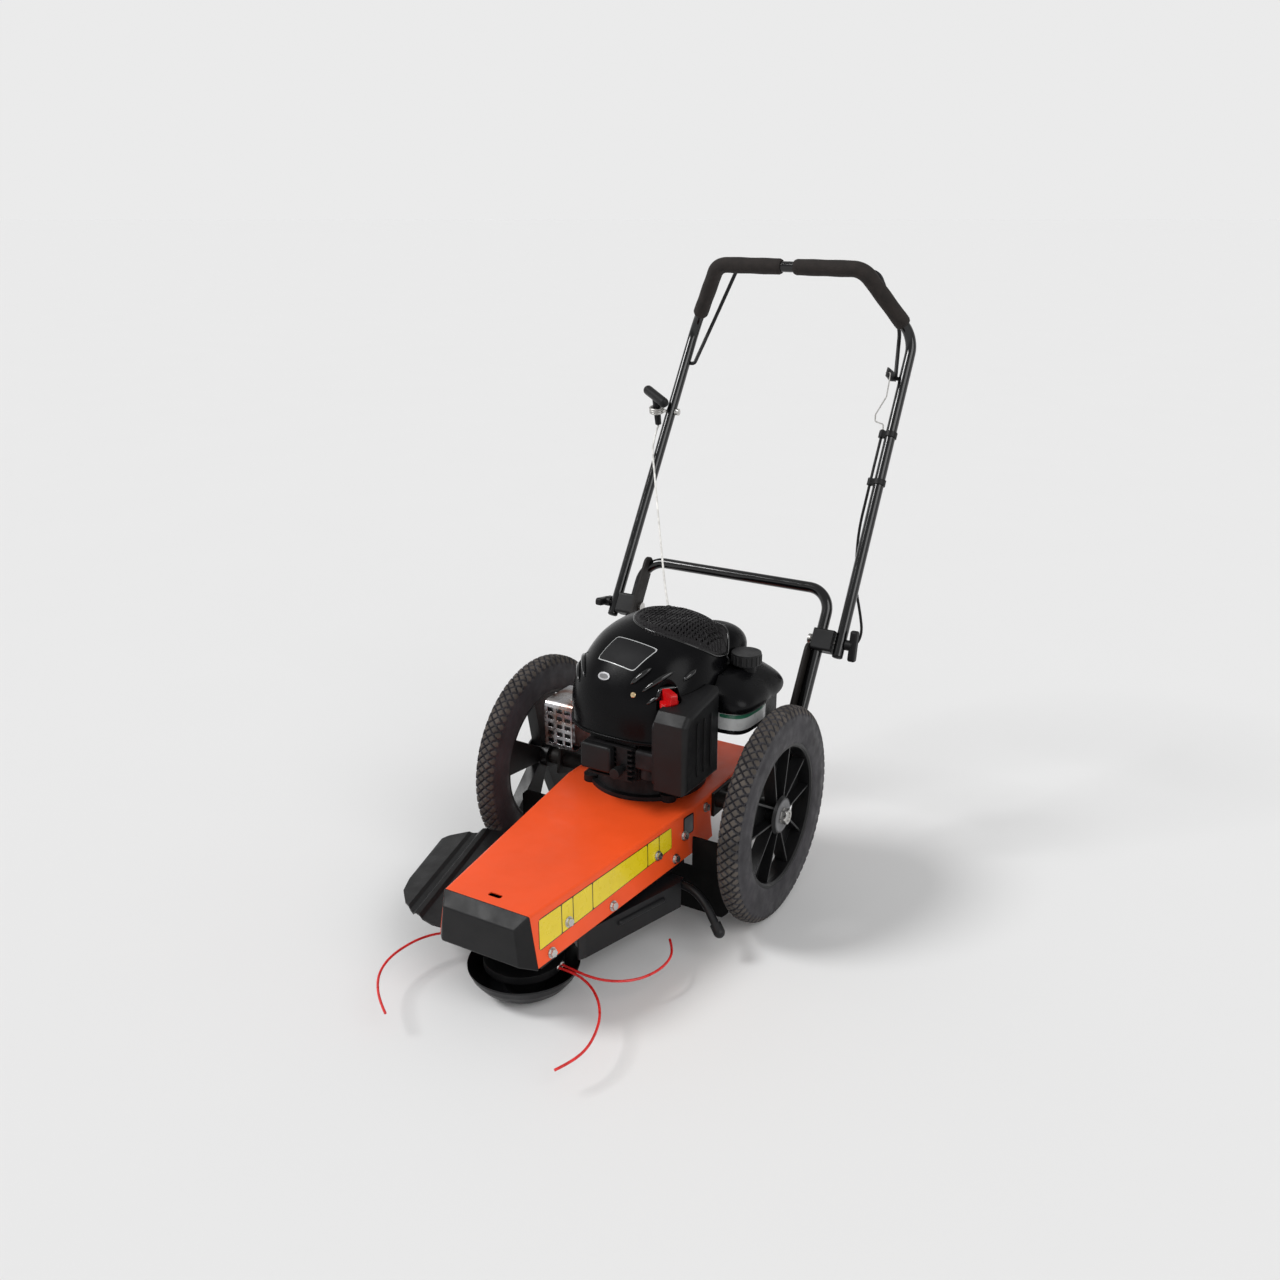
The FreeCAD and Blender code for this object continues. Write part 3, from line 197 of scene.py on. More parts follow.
def drop(surface, point, facing):
    """The place and outward direction where a surface is met along -facing through a point."""
    hit, normal, _, _ = surface.ray_cast(point + facing * CAST_REACH, -facing)
    if hit is None:
        hit, normal, _, _ = surface.find_nearest(point)
    return hit, normal if normal.dot(facing) > 0 else -normal


def laid_line(surface, start, end, facing, steps=10, lift=0.0):
    """A line from start to end that follows a surface."""
    line = []
    for step in range(steps + 1):
        hit, normal = drop(surface, start.lerp(end, step / steps), facing)
        line.append(hit + normal * lift)
    return line


def between(corners, u, v):
    """A place inside four corners (top left, top right, bottom right, bottom left), u across and v down."""
    top, bottom = corners[0].lerp(corners[1], u), corners[3].lerp(corners[2], u)
    return top.lerp(bottom, v)


def inner(corners, left, right, top, bottom):
    """The four corners of a panel inside four others, in shares of their width and height."""
    return [between(corners, left, top), between(corners, right, top), between(corners, right, bottom),
            between(corners, left, bottom)]


SHEET_CELL, SHEET_LIFT = 0.004, 0.0001


def applied(name, surface, corners, facing, thick, squareness):
    """A thin sheet laid over a surface between four corners, which squareness rounds off."""
    facing = facing.normalized()
    wide = (corners[0] - corners[1]).length
    tall = (corners[0] - corners[3]).length
    columns, rows = (max(4, math.ceil(length / SHEET_CELL)) for length in (wide, tall))
    outer, inner_side = [], []
    for row in range(rows + 1):
        for column in range(columns + 1):
            u, v = 2 * column / columns - 1, 2 * row / rows - 1
            most, pull = max(abs(u), abs(v)), 1
            if most > 1e-6:
                pull = most / (abs(u) ** squareness + abs(v) ** squareness) ** (1 / squareness)
            hit, normal = drop(surface, between(corners, (1 + u * pull) / 2, (1 + v * pull) / 2), facing)
            outer.append(hit + normal * (SHEET_LIFT + thick))
            inner_side.append(hit + normal * SHEET_LIFT)
    across, total = columns + 1, len(outer)
    faces = []
    for row in range(rows):
        for column in range(columns):
            a = row * across + column
            faces.append((a, a + across, a + across + 1, a + 1))
            faces.append((total + a, total + a + 1, total + a + across + 1, total + a + across))
    rim = list(range(across)) + [r * across + columns for r in range(1, rows + 1)]
    rim += [rows * across + c for c in range(columns - 1, -1, -1)]
    rim += [r * across for r in range(rows - 1, 0, -1)]
    faces += [(a, b, total + b, total + a) for a, b in zip(rim, rim[1:] + rim[:1])]
    return new_piece(name, outer + inner_side, faces)


# ------------------------------------------------------------------ materials

class Finish:
    """A procedural material: base colour, roughness and bump all vary over the surface."""

    def __init__(self, name, colour, rough, metal=0.0, coat=0.0, edge=0.0, shine=0.5):
        self.material = bpy.data.materials.new(name)
        self.material.use_nodes = True
        self.tree = self.material.node_tree
        self.shader = self.tree.nodes["Principled BSDF"]
        self.shader.inputs["Base Color"].default_value = (*colour, 1)
        self.shader.inputs["Roughness"].default_value = rough
        self.shader.inputs["Metallic"].default_value = metal
        self.shader.inputs["Coat Weight"].default_value = coat
        self.shader.inputs["Coat Roughness"].default_value = 0.06
        self.shader.inputs["Specular IOR Level"].default_value = shine
        self.colour, self.rough = colour, rough
        self.place = self.tree.nodes.new("ShaderNodeTexCoord").outputs["Object"]
        self.normal = None
        if edge:
            rounding = self.tree.nodes.new("ShaderNodeBevel")
            rounding.samples = 4
            rounding.inputs["Radius"].default_value = edge
            self.normal = rounding.outputs["Normal"]
            self.tree.links.new(self.normal, self.shader.inputs["Normal"])

    def node(self, kind, **links):
        made = self.tree.nodes.new(kind)
        for key, source in links.items():
            self.tree.links.new(source, made.inputs[key])
        return made

    def cloud(self, scale, detail=3):
        """Soft noise from 0 to 1 over the piece."""
        made = self.node("ShaderNodeTexNoise", Vector=self.place)
        made.inputs["Scale"].default_value = scale
        made.inputs["Detail"].default_value = detail
        return made.outputs["Fac"]

    def shades(self, source, stops, target="Base Color"):
        """Colours along a 0 to 1 source, as (place, colour) stops."""
        ramp = self.node("ShaderNodeValToRGB", Fac=source)
        elements = ramp.color_ramp.elements
        while len(elements) < len(stops):
            elements.new(0.5)
        for element, (where, colour) in zip(elements, stops):
            element.position = where
            element.color = (*colour, 1)
        self.tree.links.new(ramp.outputs["Color"], self.shader.inputs[target])
        return self

    def vary(self, spread, scale=14):
        """Lighter and darker patches of the base colour."""
        dark = tuple(c * (1 - spread) for c in self.colour)
        light = tuple(min(1, c * (1 + spread) + spread * 0.004) for c in self.colour)
        return self.shades(self.cloud(scale, 4), [(0.35, dark), (0.65, light)])

    def wear(self, spread, scale=30):
        """Roughness that wanders about its base value."""
        low, high = max(0.02, self.rough - spread), min(1, self.rough + spread)
        return self.shades(self.cloud(scale, 5), [(0.35, (low,) * 3), (0.65, (high,) * 3)], "Roughness")

    def grain(self, scale, depth, source=None):
        """Fine relief of this depth in metres, as noise of this scale or from a source."""
        bump = self.node("ShaderNodeBump", Height=source or self.cloud(scale))
        bump.inputs["Strength"].default_value = 1.0
        bump.inputs["Distance"].default_value = depth
        if self.normal is not None:
            self.tree.links.new(self.normal, bump.inputs["Normal"])
        self.normal = bump.outputs["Normal"]
        self.tree.links.new(self.normal, self.shader.inputs["Normal"])
        return self


def powder_coat(name, colour, rough, coat=0.0, edge=0.0008):
    finish = Finish(name, colour, rough, coat=coat, edge=edge, shine=0.3)
    return finish.vary(0.12).wear(0.08).grain(900, 0.00006)


def moulded(name, colour, rough, grain=0.00012, edge=0.0008, coat=0.0, shine=0.25):
    finish = Finish(name, colour, rough, coat=coat, edge=edge, shine=shine)
    return finish.vary(0.18).wear(0.07).grain(1400, grain)


def plated(name, colour, rough, edge=0.0004):
    return Finish(name, colour, rough, metal=1.0, edge=edge).vary(0.1, 60).wear(0.1, 200).grain(1200, 0.00003)


def printed(name, colour, rough=0.3):
    return Finish(name, colour, rough, coat=0.3).vary(0.03, 40).wear(0.05, 80).grain(500, 0.00001)


def knobbly(name, colour, rough, pitch, depth):
    """Cells of one pitch, for foam and braid."""
    finish = Finish(name, colour, rough).vary(0.25, 60)
    cells = finish.node("ShaderNodeTexVoronoi", Vector=finish.place)
    cells.inputs["Scale"].default_value = 1 / pitch
    return finish.grain(0, depth, source=cells.outputs["Distance"]).material


ORANGE = Finish("orange_enamel", (0.91, 0.092, 0.016), 0.42, coat=0.08, edge=0.001, shine=0.35)
ORANGE = ORANGE.vary(0.05, 9).wear(0.06, 40).grain(450, 0.00003).material
BLACK_STEEL = powder_coat("black_powder_coat", (0.006, 0.006, 0.007), 0.42).material
TUBE_BLACK = powder_coat("gloss_black_tube", (0.003, 0.003, 0.0035), 0.14, coat=0.5, edge=0).material
STRAP_BROWN = powder_coat("dull_black_strap", (0.010, 0.008, 0.007), 0.6).material
BLACK_PLASTIC = moulded("black_moulding", (0.006, 0.006, 0.0065), 0.45, edge=0.0014).material
RIM_PLASTIC = moulded("rim_moulding", (0.007, 0.007, 0.0075), 0.36).material
HUB_GREY = moulded("hub_disc", (0.12, 0.12, 0.125), 0.4).material
SHROUD = moulded("shroud_gloss", (0.0025, 0.0025, 0.003), 0.26, grain=0.00002, shine=0.1).material
SHROUD_EDGE = moulded("shroud_edges", (0.0025, 0.0025, 0.003), 0.12, grain=0.00001, edge=0, coat=0.8).material
SCREEN = moulded("screen_moulding", (0.012, 0.011, 0.012), 0.5, grain=0.0002).material
TANK = moulded("tank_moulding", (0.003, 0.003, 0.0035), 0.28, grain=0.00004, shine=0.14).material
CAP_PLASTIC = moulded("cap_moulding", (0.010, 0.010, 0.0105), 0.4).material
RED = moulded("red_cap", (0.62, 0.008, 0.01), 0.3, coat=0.3).material
ZINC = plated("zinc_plate", (0.55, 0.54, 0.52), 0.32).material
BRASS = plated("brass", (0.62, 0.48, 0.28), 0.3).material
DARK_STEEL = plated("machined_steel", (0.28, 0.28, 0.29), 0.4).material
CAST = Finish("cast_aluminium", (0.016, 0.015, 0.016), 0.55, metal=0.3, edge=0.0008, shine=0.2)
CAST = CAST.vary(0.25, 40).wear(0.12, 90).grain(700, 0.0003).material
RUBBER = Finish("flap_rubber", (0.003, 0.003, 0.003), 0.7, edge=0.0006, shine=0.12)
RUBBER = RUBBER.vary(0.2, 25).wear(0.1).grain(600, 0.0001).material
TYRE = Finish("tyre_rubber", (0.030, 0.028, 0.032), 0.6, shine=0.35)
TYRE = TYRE.vary(0.2, 18).wear(0.12, 50).grain(1500, 0.00006).material
TREAD = Finish("tread_dusty", (0.066, 0.056, 0.048), 0.75, shine=0.3)
TREAD = TREAD.vary(0.35, 26).wear(0.1, 60).grain(1100, 0.0001).material
FOAM = knobbly("handle_foam", (0.012, 0.008, 0.0065), 0.85, 0.0007, 0.0002)
ROPE = knobbly("braided_rope", (0.74, 0.73, 0.70), 0.75, 0.0011, 0.0003)
CABLE = moulded("cable_jacket", (0.006, 0.006, 0.0065), 0.36, edge=0).material
LINE = Finish("nylon_line", (0.66, 0.018, 0.018), 0.3, coat=0.2)
LINE = LINE.vary(0.15, 80).wear(0.08, 120).grain(900, 0.00004).material
LABEL_WHITE = printed("label_white", (0.50, 0.51, 0.51)).material
LABEL_DARK = Finish("label_dark", (0.006, 0.006, 0.007), 0.6, shine=0.2)
LABEL_DARK = LABEL_DARK.vary(0.1, 40).wear(0.05).grain(800, 0.00002).material
LABEL_YELLOW = printed("label_yellow", (0.78, 0.60, 0.012)).material
LABEL_BLACK = printed("label_black", (0.01, 0.01, 0.01)).material
LABEL_GREEN = printed("label_green", (0.02, 0.12, 0.07)).material
BADGE = plated("badge_silver", (0.30, 0.30, 0.31), 0.4).material
LABEL_GREY = printed("label_grey", (0.12, 0.12, 0.125), 0.35).material


def heat_stained_steel():
    finish = Finish("heat_stained_guard", (0.4, 0.38, 0.36), 0.3, metal=1.0, edge=0.0006)
    stains = [(0.40, (0.52, 0.52, 0.54)), (0.52, (0.40, 0.37, 0.36)), (0.60, (0.26, 0.15, 0.12)),
              (0.72, (0.22, 0.22, 0.32))]
    return finish.shades(finish.cloud(22), stains).wear(0.12, 120).grain(500, 0.0001).material


GUARD_STEEL = heat_stained_steel()

CAD_FINISHES = {
    ORANGE: ["belt_cover"],
    BLACK_STEEL: ["deck_frame", "deck_pan", "guide_arm", "spindle_housing", "idler_arm", "ground_disc",
                  "bail_rod"],
    STRAP_BROWN: ["side_frame_left", "side_frame_right"],
    TUBE_BLACK: ["upper_handle_tube", "lower_handle"],
    BLACK_PLASTIC: ["bumper", "debris_shield", "clamp_blocks", "clamp_knob_left", "clamp_knob_right",
                    "cable_clips", "rocker_cover", "air_cleaner_cover", "line_hub", "starter_grip",
                    "filler_tube", "idler_pulley", "spark_plug"],
    CAP_PLASTIC: ["fuel_cap"],
    RIM_PLASTIC: ["rim_left", "rim_right"],
    SHROUD: ["blower_housing"],
    SCREEN: ["starter_screen"],
    TANK: ["fuel_tank"],
    RED: ["dipstick"],
    RUBBER: ["rear_flap", "drive_belt"],
    ZINC: ["cover_bolts", "stub_axles", "fold_bolts", "rope_guide"],
    DARK_STEEL: ["spindle", "crankshaft", "drive_pulley", "driven_pulley", "hub_bushes_left",
                 "hub_bushes_right", "spindle_bearings", "muffler"],
    CAST: ["engine_sump", "engine_block", "cylinder_head", "carburetor", "flywheel"],
    GUARD_STEEL: ["muffler_guard"],
}


def finish_cad_nodes():
    for material, names in CAD_FINISHES.items():
        for name in names:
            mesh = NODES[name].data
            if not mesh.materials:
                mesh.materials.append(material)
            for index in range(len(mesh.materials)):
                mesh.materials[index] = material


# ------------------------------------------------------------------ wheels

TREAD_DEPTH, TREAD_REACH = 0.0030, 0.0130
TREAD_PITCHES, TREAD_ACROSS = 72, 0.0155
SAMPLES_PER_PITCH = 10
CROWN_STEPS, CROWN_DROP = 34, 0.0115
GROOVE_SHARE = 0.06


def tyre_profile(half, outer, bead):
    """(across, radius) points from one bead over the tread to the other, close together on the tread."""
    wall = [(half - 0.0030, bead), (half - 0.0012, bead + 0.004), (half - 0.0004, bead + 0.012),
            (half, bead + 0.024), (half - 0.0002, bead + 0.033), (half - 0.0009, bead + 0.0345),
            (half - 0.0010, bead + 0.043)]
    crown = []
    for step in range(CROWN_STEPS + 1):
        share = 1 - 2 * step / CROWN_STEPS
        crown.append(((half - 0.0011) * share, outer - CROWN_DROP * abs(share) ** 3.4))
    return wall + crown + [(-across, radius) for across, radius in reversed(wall)]


def tread_height(arc, across):
    """1 on a block and 0 in a groove of the crossed diagonal pattern."""
    low = 1.0
    for sign in (1, -1):
        phase = (arc * TREAD_PITCHES / (2 * math.pi) + sign * across / TREAD_ACROSS) % 1.0
        gap = min(phase, 1 - phase)
        low = min(low, max(0.0, min(1.0, (gap - GROOVE_SHARE) / GROOVE_SHARE)))
    return low * low * (3 - 2 * low)


def tyre(side):
    low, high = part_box("tyre_" + side)
    centre, half, outer = (low + high) / 2, (high.x - low.x) / 2, (high.z - low.z) / 2
    profile = tyre_profile(half, outer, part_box("rim_" + side)[1].z - centre.z)
    around = TREAD_PITCHES * SAMPLES_PER_PITCH
    verts, worn = [], []
    for arc in turns(around):
        out = Vector((0, math.cos(arc), math.sin(arc)))
        for across, radius in profile:
            on_tread = max(0.0, min(1.0, (radius - (outer - TREAD_REACH)) / 0.003))
            cut = TREAD_DEPTH * on_tread * (1 - tread_height(arc, across))
            inward = out * cut + X * (math.copysign(cut, across) * 0.6 * (abs(across) / half) ** 4)
            verts.append(centre + X * across + out * radius - inward)
            worn.append(on_tread > 0.5 and cut < TREAD_DEPTH / 3)
    piece = new_piece("tread_tyre_" + side, verts, ring_faces(around, len(profile), closed=True), sharp=60)
    place(piece, side + "_wheel", TYRE, ["tyre_" + side])
    piece.data.materials.append(TREAD)
    for polygon in piece.data.polygons:
        polygon.material_index = int(all(worn[index] for index in polygon.vertices))


def hub_cap(side):
    """The grey disc behind the wheel nut, with a rolled rim."""
    sign = SIDES[side]
    low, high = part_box("rim_" + side)
    centre = centre_of("rim_" + side)
    face = Vector((high.x if sign > 0 else low.x, centre.y, centre.z))
    profile = [(-0.0045, 0.0118), (-0.0028, 0.0120), (-0.0002, 0.0125), (0.0002, 0.0150), (0.0, 0.0200),
               (0.0006, 0.0235), (0.0005, 0.0262), (-0.0014, 0.0275), (-0.0043, 0.0278)]
    piece = lathe("hub_disc_" + side, profile, face, X * sign)
    place(piece, side + "_wheel", HUB_GREY)


# ------------------------------------------------------------------ handle

FOOT, BEND, TOP = at(0.2266, 0.2097, 0.3691), at(0.2195, 0.514, 0.874), at(0.1417, 0.4496, 0.9929)
GRIP_RADIUS = 0.0145
ROPE_END, STEM_RUN = at(-0.2542, 0.4284, 0.6898), Vector((0.6, -10, 49)).normalized()


def mirrored(point, sign):
    """A point of the right side, or its like on the left when sign is -1."""
    return Vector((sign * point.x, point.y, point.z))


def foam_grip(side):
    """A closed-cell sleeve that swells a little between its ends."""
    sign = SIDES[side]
    start = BEND + (TOP - BEND).normalized() * 0.031
    points = [mirrored(point, sign) for point in (start, TOP, at(0.013, 0.4496, 0.9929))]
    path = bent_path(points, [0.034], steps=14)
    dense = []
    for a, b in zip(path, path[1:]):
        count = max(1, round((b - a).length / 0.004))
        dense += [a.lerp(b, step / count) for step in range(count)]
    dense.append(path[-1])
    length = sum((b - a).length for a, b in zip(dense, dense[1:]))

    def radius(share):
        end = min(share, 1 - share) * length
        rounding = 0.0020 * max(0.0, 1 - end / 0.0025) ** 2
        return GRIP_RADIUS - 0.0002 - rounding + 0.00025 * math.sin(share * 31)

    piece = tube("foam_sleeve_" + side, dense, radius, around=40)
    place(piece, "upper_handle", FOAM, ["foam_grips"] if side == "right" else [])


def end_plug(side):
    """The moulded plug in the foot of an upper tube."""
    foot, bend = mirrored(FOOT, SIDES[side]), mirrored(BEND, SIDES[side])
    up = (bend - foot).normalized()
    profile = [(-0.0040, 0.0001), (-0.0039, 0.0035), (-0.0034, 0.0070), (-0.0022, 0.0090), (-0.0006, 0.0094),
               (0.0, 0.0079), (0.003, 0.0078), (0.003, 0.0001)]
    piece = lathe("tube_plug_" + side, profile, foot, up, around=32)
    place(piece, "upper_handle", BLACK_PLASTIC)


def bail_wire():
    """The bent wire from the bail's lever down to the cable."""
    route = [at(0.1975, 0.4420, 0.8212), at(0.2052, 0.4420, 0.8212), at(0.2052, 0.4400, 0.8050),
             at(0.2040, 0.4345, 0.7800), at(0.1880, 0.4285, 0.7480), at(0.1890, 0.4262, 0.7365),
             at(0.2050, 0.4246, 0.7330), at(0.2057, 0.4227, 0.7222)]
    bends = [0.002, 0.004, 0.008, 0.005, 0.004, 0.003]
    piece = tube("lever_wire", bent_path(route, bends), 0.0012, around=12)
    piece.data.materials.append(ZINC)
    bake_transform(piece)
    top = at(0.2057, 0.4227, 0.7226)
    along = (at(0.2057, 0.4100, 0.7010) - top).normalized()
    profile = [(0.0040, 0.0026), (0.0040, 0.0040), (0.0000, 0.0042), (-0.0006, 0.0036), (-0.0006, 0.0013)]
    cap = lathe("cable_end_cap", profile, top, along, around=28)
    place(cap, "upper_handle", BLACK_PLASTIC)


def starter_rope():
    """The pull rope, taut from the housing past the left tube to the grip's stem."""
    route = [at(-0.017, 0.050, 0.461), at(-0.041, 0.082, 0.4805), at(-0.0675, 0.121, 0.503),
             at(-0.094, 0.1605, 0.5265), at(-0.121, 0.2005, 0.551), at(-0.148, 0.241, 0.5755),
             at(-0.175, 0.281, 0.6005), at(-0.202, 0.322, 0.626), at(-0.230, 0.362, 0.651),
             at(-0.244, 0.396, 0.674), ROPE_END]
    path = smooth_path(route)
    piece = tube("pull_rope", path, 0.00175, around=14)
    piece.data.materials.append(ROPE)
    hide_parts("starter_rope")
    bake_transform(piece)


def drawn_rope():
    """A short end of rope in the grip's stem, where the pull rope ends."""
    path = [ROPE_END + STEM_RUN * (0.0015 * step - 0.004) for step in range(10)]
    piece = tube("pull_rope_drawn", path, 0.0016, around=14)
    piece.data.materials.append(ROPE)
    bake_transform(piece)


CABLE_ROUTE = [
    at(0.104, 0.104, 0.1935), at(0.105, 0.106, 0.208), at(0.110, 0.117, 0.219), at(0.122, 0.138, 0.226),
    at(0.138, 0.165, 0.230), at(0.150, 0.200, 0.240), at(0.154, 0.238, 0.258), at(0.150, 0.270, 0.290),
    at(0.154, 0.292, 0.326), at(0.168, 0.310, 0.346), at(0.190, 0.326, 0.340), at(0.213, 0.335, 0.346),
    at(0.223, 0.336, 0.372), at(0.216, 0.338, 0.408), at(0.204, 0.340, 0.452), at(0.197, 0.352, 0.505),
    at(0.199, 0.352, 0.560), at(0.2069, 0.3576, 0.6138), at(0.2057, 0.3964, 0.6780),
    at(0.2057, 0.4227, 0.7226),
]


def control_cable():
    """The cable from the deck up behind the right leg, through both clips, to the lever's wire."""
    path = smooth_path(CABLE_ROUTE)
    piece = tube("control_cable_jacket", path, 0.0025, around=14)
    piece.data.materials.append(CABLE)
    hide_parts("control_cable")
    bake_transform(piece)


# ------------------------------------------------------------------ string head

LINE_ROUTES = {
    "right": [at(0.054, -0.408, 0.049), at(0.084, -0.406, 0.049), at(0.118, -0.416, 0.0475),
              at(0.147, -0.438, 0.0465), at(0.170, -0.468, 0.045), at(0.184, -0.502, 0.044),
              at(0.191, -0.537, 0.043), at(0.186, -0.568, 0.042), at(0.176, -0.590, 0.041)],
    "rear": [at(0.054, -0.398, 0.049), at(0.084, -0.402, 0.049), at(0.118, -0.402, 0.0475),
             at(0.149, -0.391, 0.0465), at(0.173, -0.368, 0.0455), at(0.186, -0.336, 0.045),
             at(0.187, -0.303, 0.0445), at(0.177, -0.275, 0.044), at(0.160, -0.254, 0.044)],
    "left": [at(-0.054, -0.406, 0.049), at(-0.086, -0.404, 0.049), at(-0.118, -0.406, 0.048),
             at(-0.147, -0.418, 0.047), at(-0.167, -0.443, 0.046), at(-0.176, -0.475, 0.045),
             at(-0.177, -0.510, 0.044), at(-0.166, -0.544, 0.043), at(-0.144, -0.573, 0.042),
             at(-0.116, -0.597, 0.041), at(-0.096, -0.610, 0.040)],
}


def trimmer_line(name):
    path = smooth_path(LINE_ROUTES[name])
    piece = tube("nylon_line_" + name, path, 0.002, around=12)
    place(piece, "head", LINE, ["line_" + name])


def line_eyelets():
    """A plated eyelet round each line where it leaves the hub."""
    profile = [(0.0, 0.0022), (0.0, 0.0052), (0.0016, 0.0056), (0.0030, 0.0048), (0.0034, 0.0034),
               (0.0026, 0.0022)]
    for name, route in LINE_ROUTES.items():
        out = (route[1] - route[0]).normalized()
        piece = lathe("line_eyelet_" + name, profile, route[0] + out * 0.0035, out, around=32)
        place(piece, "head", ZINC)


# ------------------------------------------------------------------ deck details

SKIRT_FACING = Vector((0.98, -0.12, 0.16))
PANEL_ENDS = [0.0, 0.155, 0.235, 0.375, 0.80, 0.895, 1.0]
PANEL_GAP = 0.003


def skirt_labels():
    """A blank yellow strip in framed panels along the cover's right skirt, without any lettering."""
    cover = surface_of("belt_cover")
    strip = [at(0.0778, -0.4800, 0.1756), at(0.1150, -0.1713, 0.1860), at(0.1194, -0.1774, 0.1529),
             at(0.0840, -0.4885, 0.1317)]
    frame_strip = applied("skirt_strip", cover, strip, SKIRT_FACING, 0.0002, squareness=40)
    place(frame_strip, "chassis", LABEL_BLACK)
    for index, (start, end) in enumerate(zip(PANEL_ENDS, PANEL_ENDS[1:])):
        panel = inner(strip, start + PANEL_GAP, end - PANEL_GAP, 0.03, 0.97)
        field = applied("skirt_panel_%d" % index, cover, panel, SKIRT_FACING, 0.0004, squareness=40)
        place(field, "chassis", LABEL_YELLOW)


def skirt_plate():
    """The small grey cover plate near the rear of the skirt."""
    cover = surface_of("belt_cover")
    corners = [at(0.1190, -0.1390, 0.1880), at(0.1225, -0.1120, 0.1880), at(0.1262, -0.1186, 0.1580),
               at(0.1229, -0.1457, 0.1580)]
    rim = applied("skirt_plate_rim", cover, corners, SKIRT_FACING, 0.0006, squareness=14)
    place(rim, "chassis", LABEL_DARK)
    panel = inner(corners, 0.08, 0.92, 0.07, 0.93)
    field = applied("skirt_plate_field", cover, panel, SKIRT_FACING, 0.0011, squareness=14)
    place(field, "chassis", LABEL_GREY)


# ------------------------------------------------------------------ engine details

HOUSING_AXIS, HOUSING_POWER = (0.006, -0.038), 2.6
SCREEN_AXIS, SCREEN_POWER = (0.042, -0.012), 2.4
RIB_SPREAD, RIB_REACH, RIB_EDGE = 0.066, 0.068, 0.0705


def name_plate():
    """A blank plate with a thin pale border on the housing's shoulder, and a blank badge below it."""
    dome = surface_of("blower_housing", "starter_screen")
    facing = Vector((0.05, -0.66, 0.75))
    corners = [at(-0.0267, -0.0954, 0.4535), at(0.0534, -0.1044, 0.4483), at(0.0276, -0.1398, 0.4183),
               at(-0.0460, -0.1275, 0.4214)]
    border = applied("plate_border", dome, corners, facing, 0.0004, squareness=14)
    place(border, "chassis", LABEL_WHITE)
    panel = inner(corners, 0.018, 0.982, 0.03, 0.97)
    field = applied("plate_field", dome, panel, facing, 0.0008, squareness=14)
    place(field, "chassis", LABEL_DARK)
    middle, facing = at(-0.0207, -0.1482, 0.4045), Vector((-0.15, -0.8, 0.58))
    across, down = Vector((0.98, 0, -0.03)) * 0.012, Vector((0, -0.5, -0.8)) * 0.007
    outline = [middle - across - down, middle + across - down, middle + across + down, middle - across + down]
    panel = inner(outline, 0.14, 0.86, 0.2, 0.8)
    for name, corners, material, proud in [("badge_rim", outline, BADGE, 0.0012),
                                           ("badge_field", panel, LABEL_GREY, 0.0016)]:
        badge = applied(name, dome, corners, facing, proud, squareness=2)
        place(badge, "chassis", material)


def rounded_oval(middle, half_x, half_y, power, count):
    """Points round a squared-off oval, back to its start."""
    points = []
    for a in turns(count) + [0.0]:
        c, s = math.cos(a), math.sin(a)
        points.append(middle + X * (math.copysign(abs(c) ** (2 / power), c) * half_x)
                      + Y * (math.copysign(abs(s) ** (2 / power), s) * half_y))
    return points


def housing_ridges():
    """Raised ridges over both of the housing's front shoulders and a bead round the screen."""
    dome = surface_of("blower_housing", "starter_screen")
    facing = Vector((0.35, -0.75, 0.55)).normalized()
    ridges = [(at(0.0297, -0.1509, 0.4022), at(0.0541, -0.1287, 0.4259)),
              (at(0.0512, -0.1519, 0.3945), at(0.0858, -0.1142, 0.4223)),
              (at(0.0615, -0.1566, 0.3775), at(0.0960, -0.1220, 0.4010)),
              (at(0.1004, -0.1109, 0.4083), at(0.1085, -0.0856, 0.4195)),
              (at(-0.0600, -0.1450, 0.3950), at(-0.0900, -0.1050, 0.4250)),
              (at(-0.0720, -0.1420, 0.3830), at(-0.1010, -0.1010, 0.4120))]

    def swell(share):
        return 0.0006 + (0.0040 * math.sin(math.pi * share) ** 0.5 if 0 < share < 1 else 0)

    lines = [laid_line(dome, start, end, facing, 14, lift=0.0008) for start, end in ridges]
    place(tubes("housing_ridges", lines, swell, 12), "chassis", SHROUD_EDGE)
    oval = rounded_oval(at(*SCREEN_AXIS, 0.46), 0.0757, 0.0657, SCREEN_POWER, 90)
    rim = [drop(dome, point, Z)[0] for point in oval]
    place(tube("screen_bead", rim, 0.0018, 10), "chassis", SHROUD_EDGE)


def screen_mesh():
    """Fine ribs that cross over the slots of the starter screen."""
    panel = surface_of("starter_screen", "blower_housing")
    middle = at(*SCREEN_AXIS, 0.47)
    along, aside = Vector((-0.509, 0.861, 0)), Vector((0.861, 0.509, 0))
    for name, run, sideways, pitch, radius in [("long", along, aside, 0.0048, 0.00085),
                                               ("cross", aside, along, 0.0096, 0.0006)]:
        lines = []
        count = int(RIB_SPREAD / pitch)
        for index in range(-count, count + 1):
            offset = index * pitch
            reach = RIB_REACH * (1 - (abs(offset) / RIB_EDGE) ** SCREEN_POWER) ** (1 / SCREEN_POWER)
            centre = middle + sideways * offset
            lines.append(laid_line(panel, centre - run * reach, centre + run * reach, Z, 16, lift=0.0003))
        place(tubes("screen_ribs_" + name, lines, radius, 6), "chassis", SCREEN)


def housing_bead():
    """The rolled bead round the foot of the blower housing."""
    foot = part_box("blower_housing")[0].z + 0.0042
    path = rounded_oval(at(*HOUSING_AXIS, foot), 0.1222, 0.1302, HOUSING_POWER, 120)
    piece = tube("housing_bead", path, 0.0022, around=10)
    place(piece, "chassis", SHROUD)


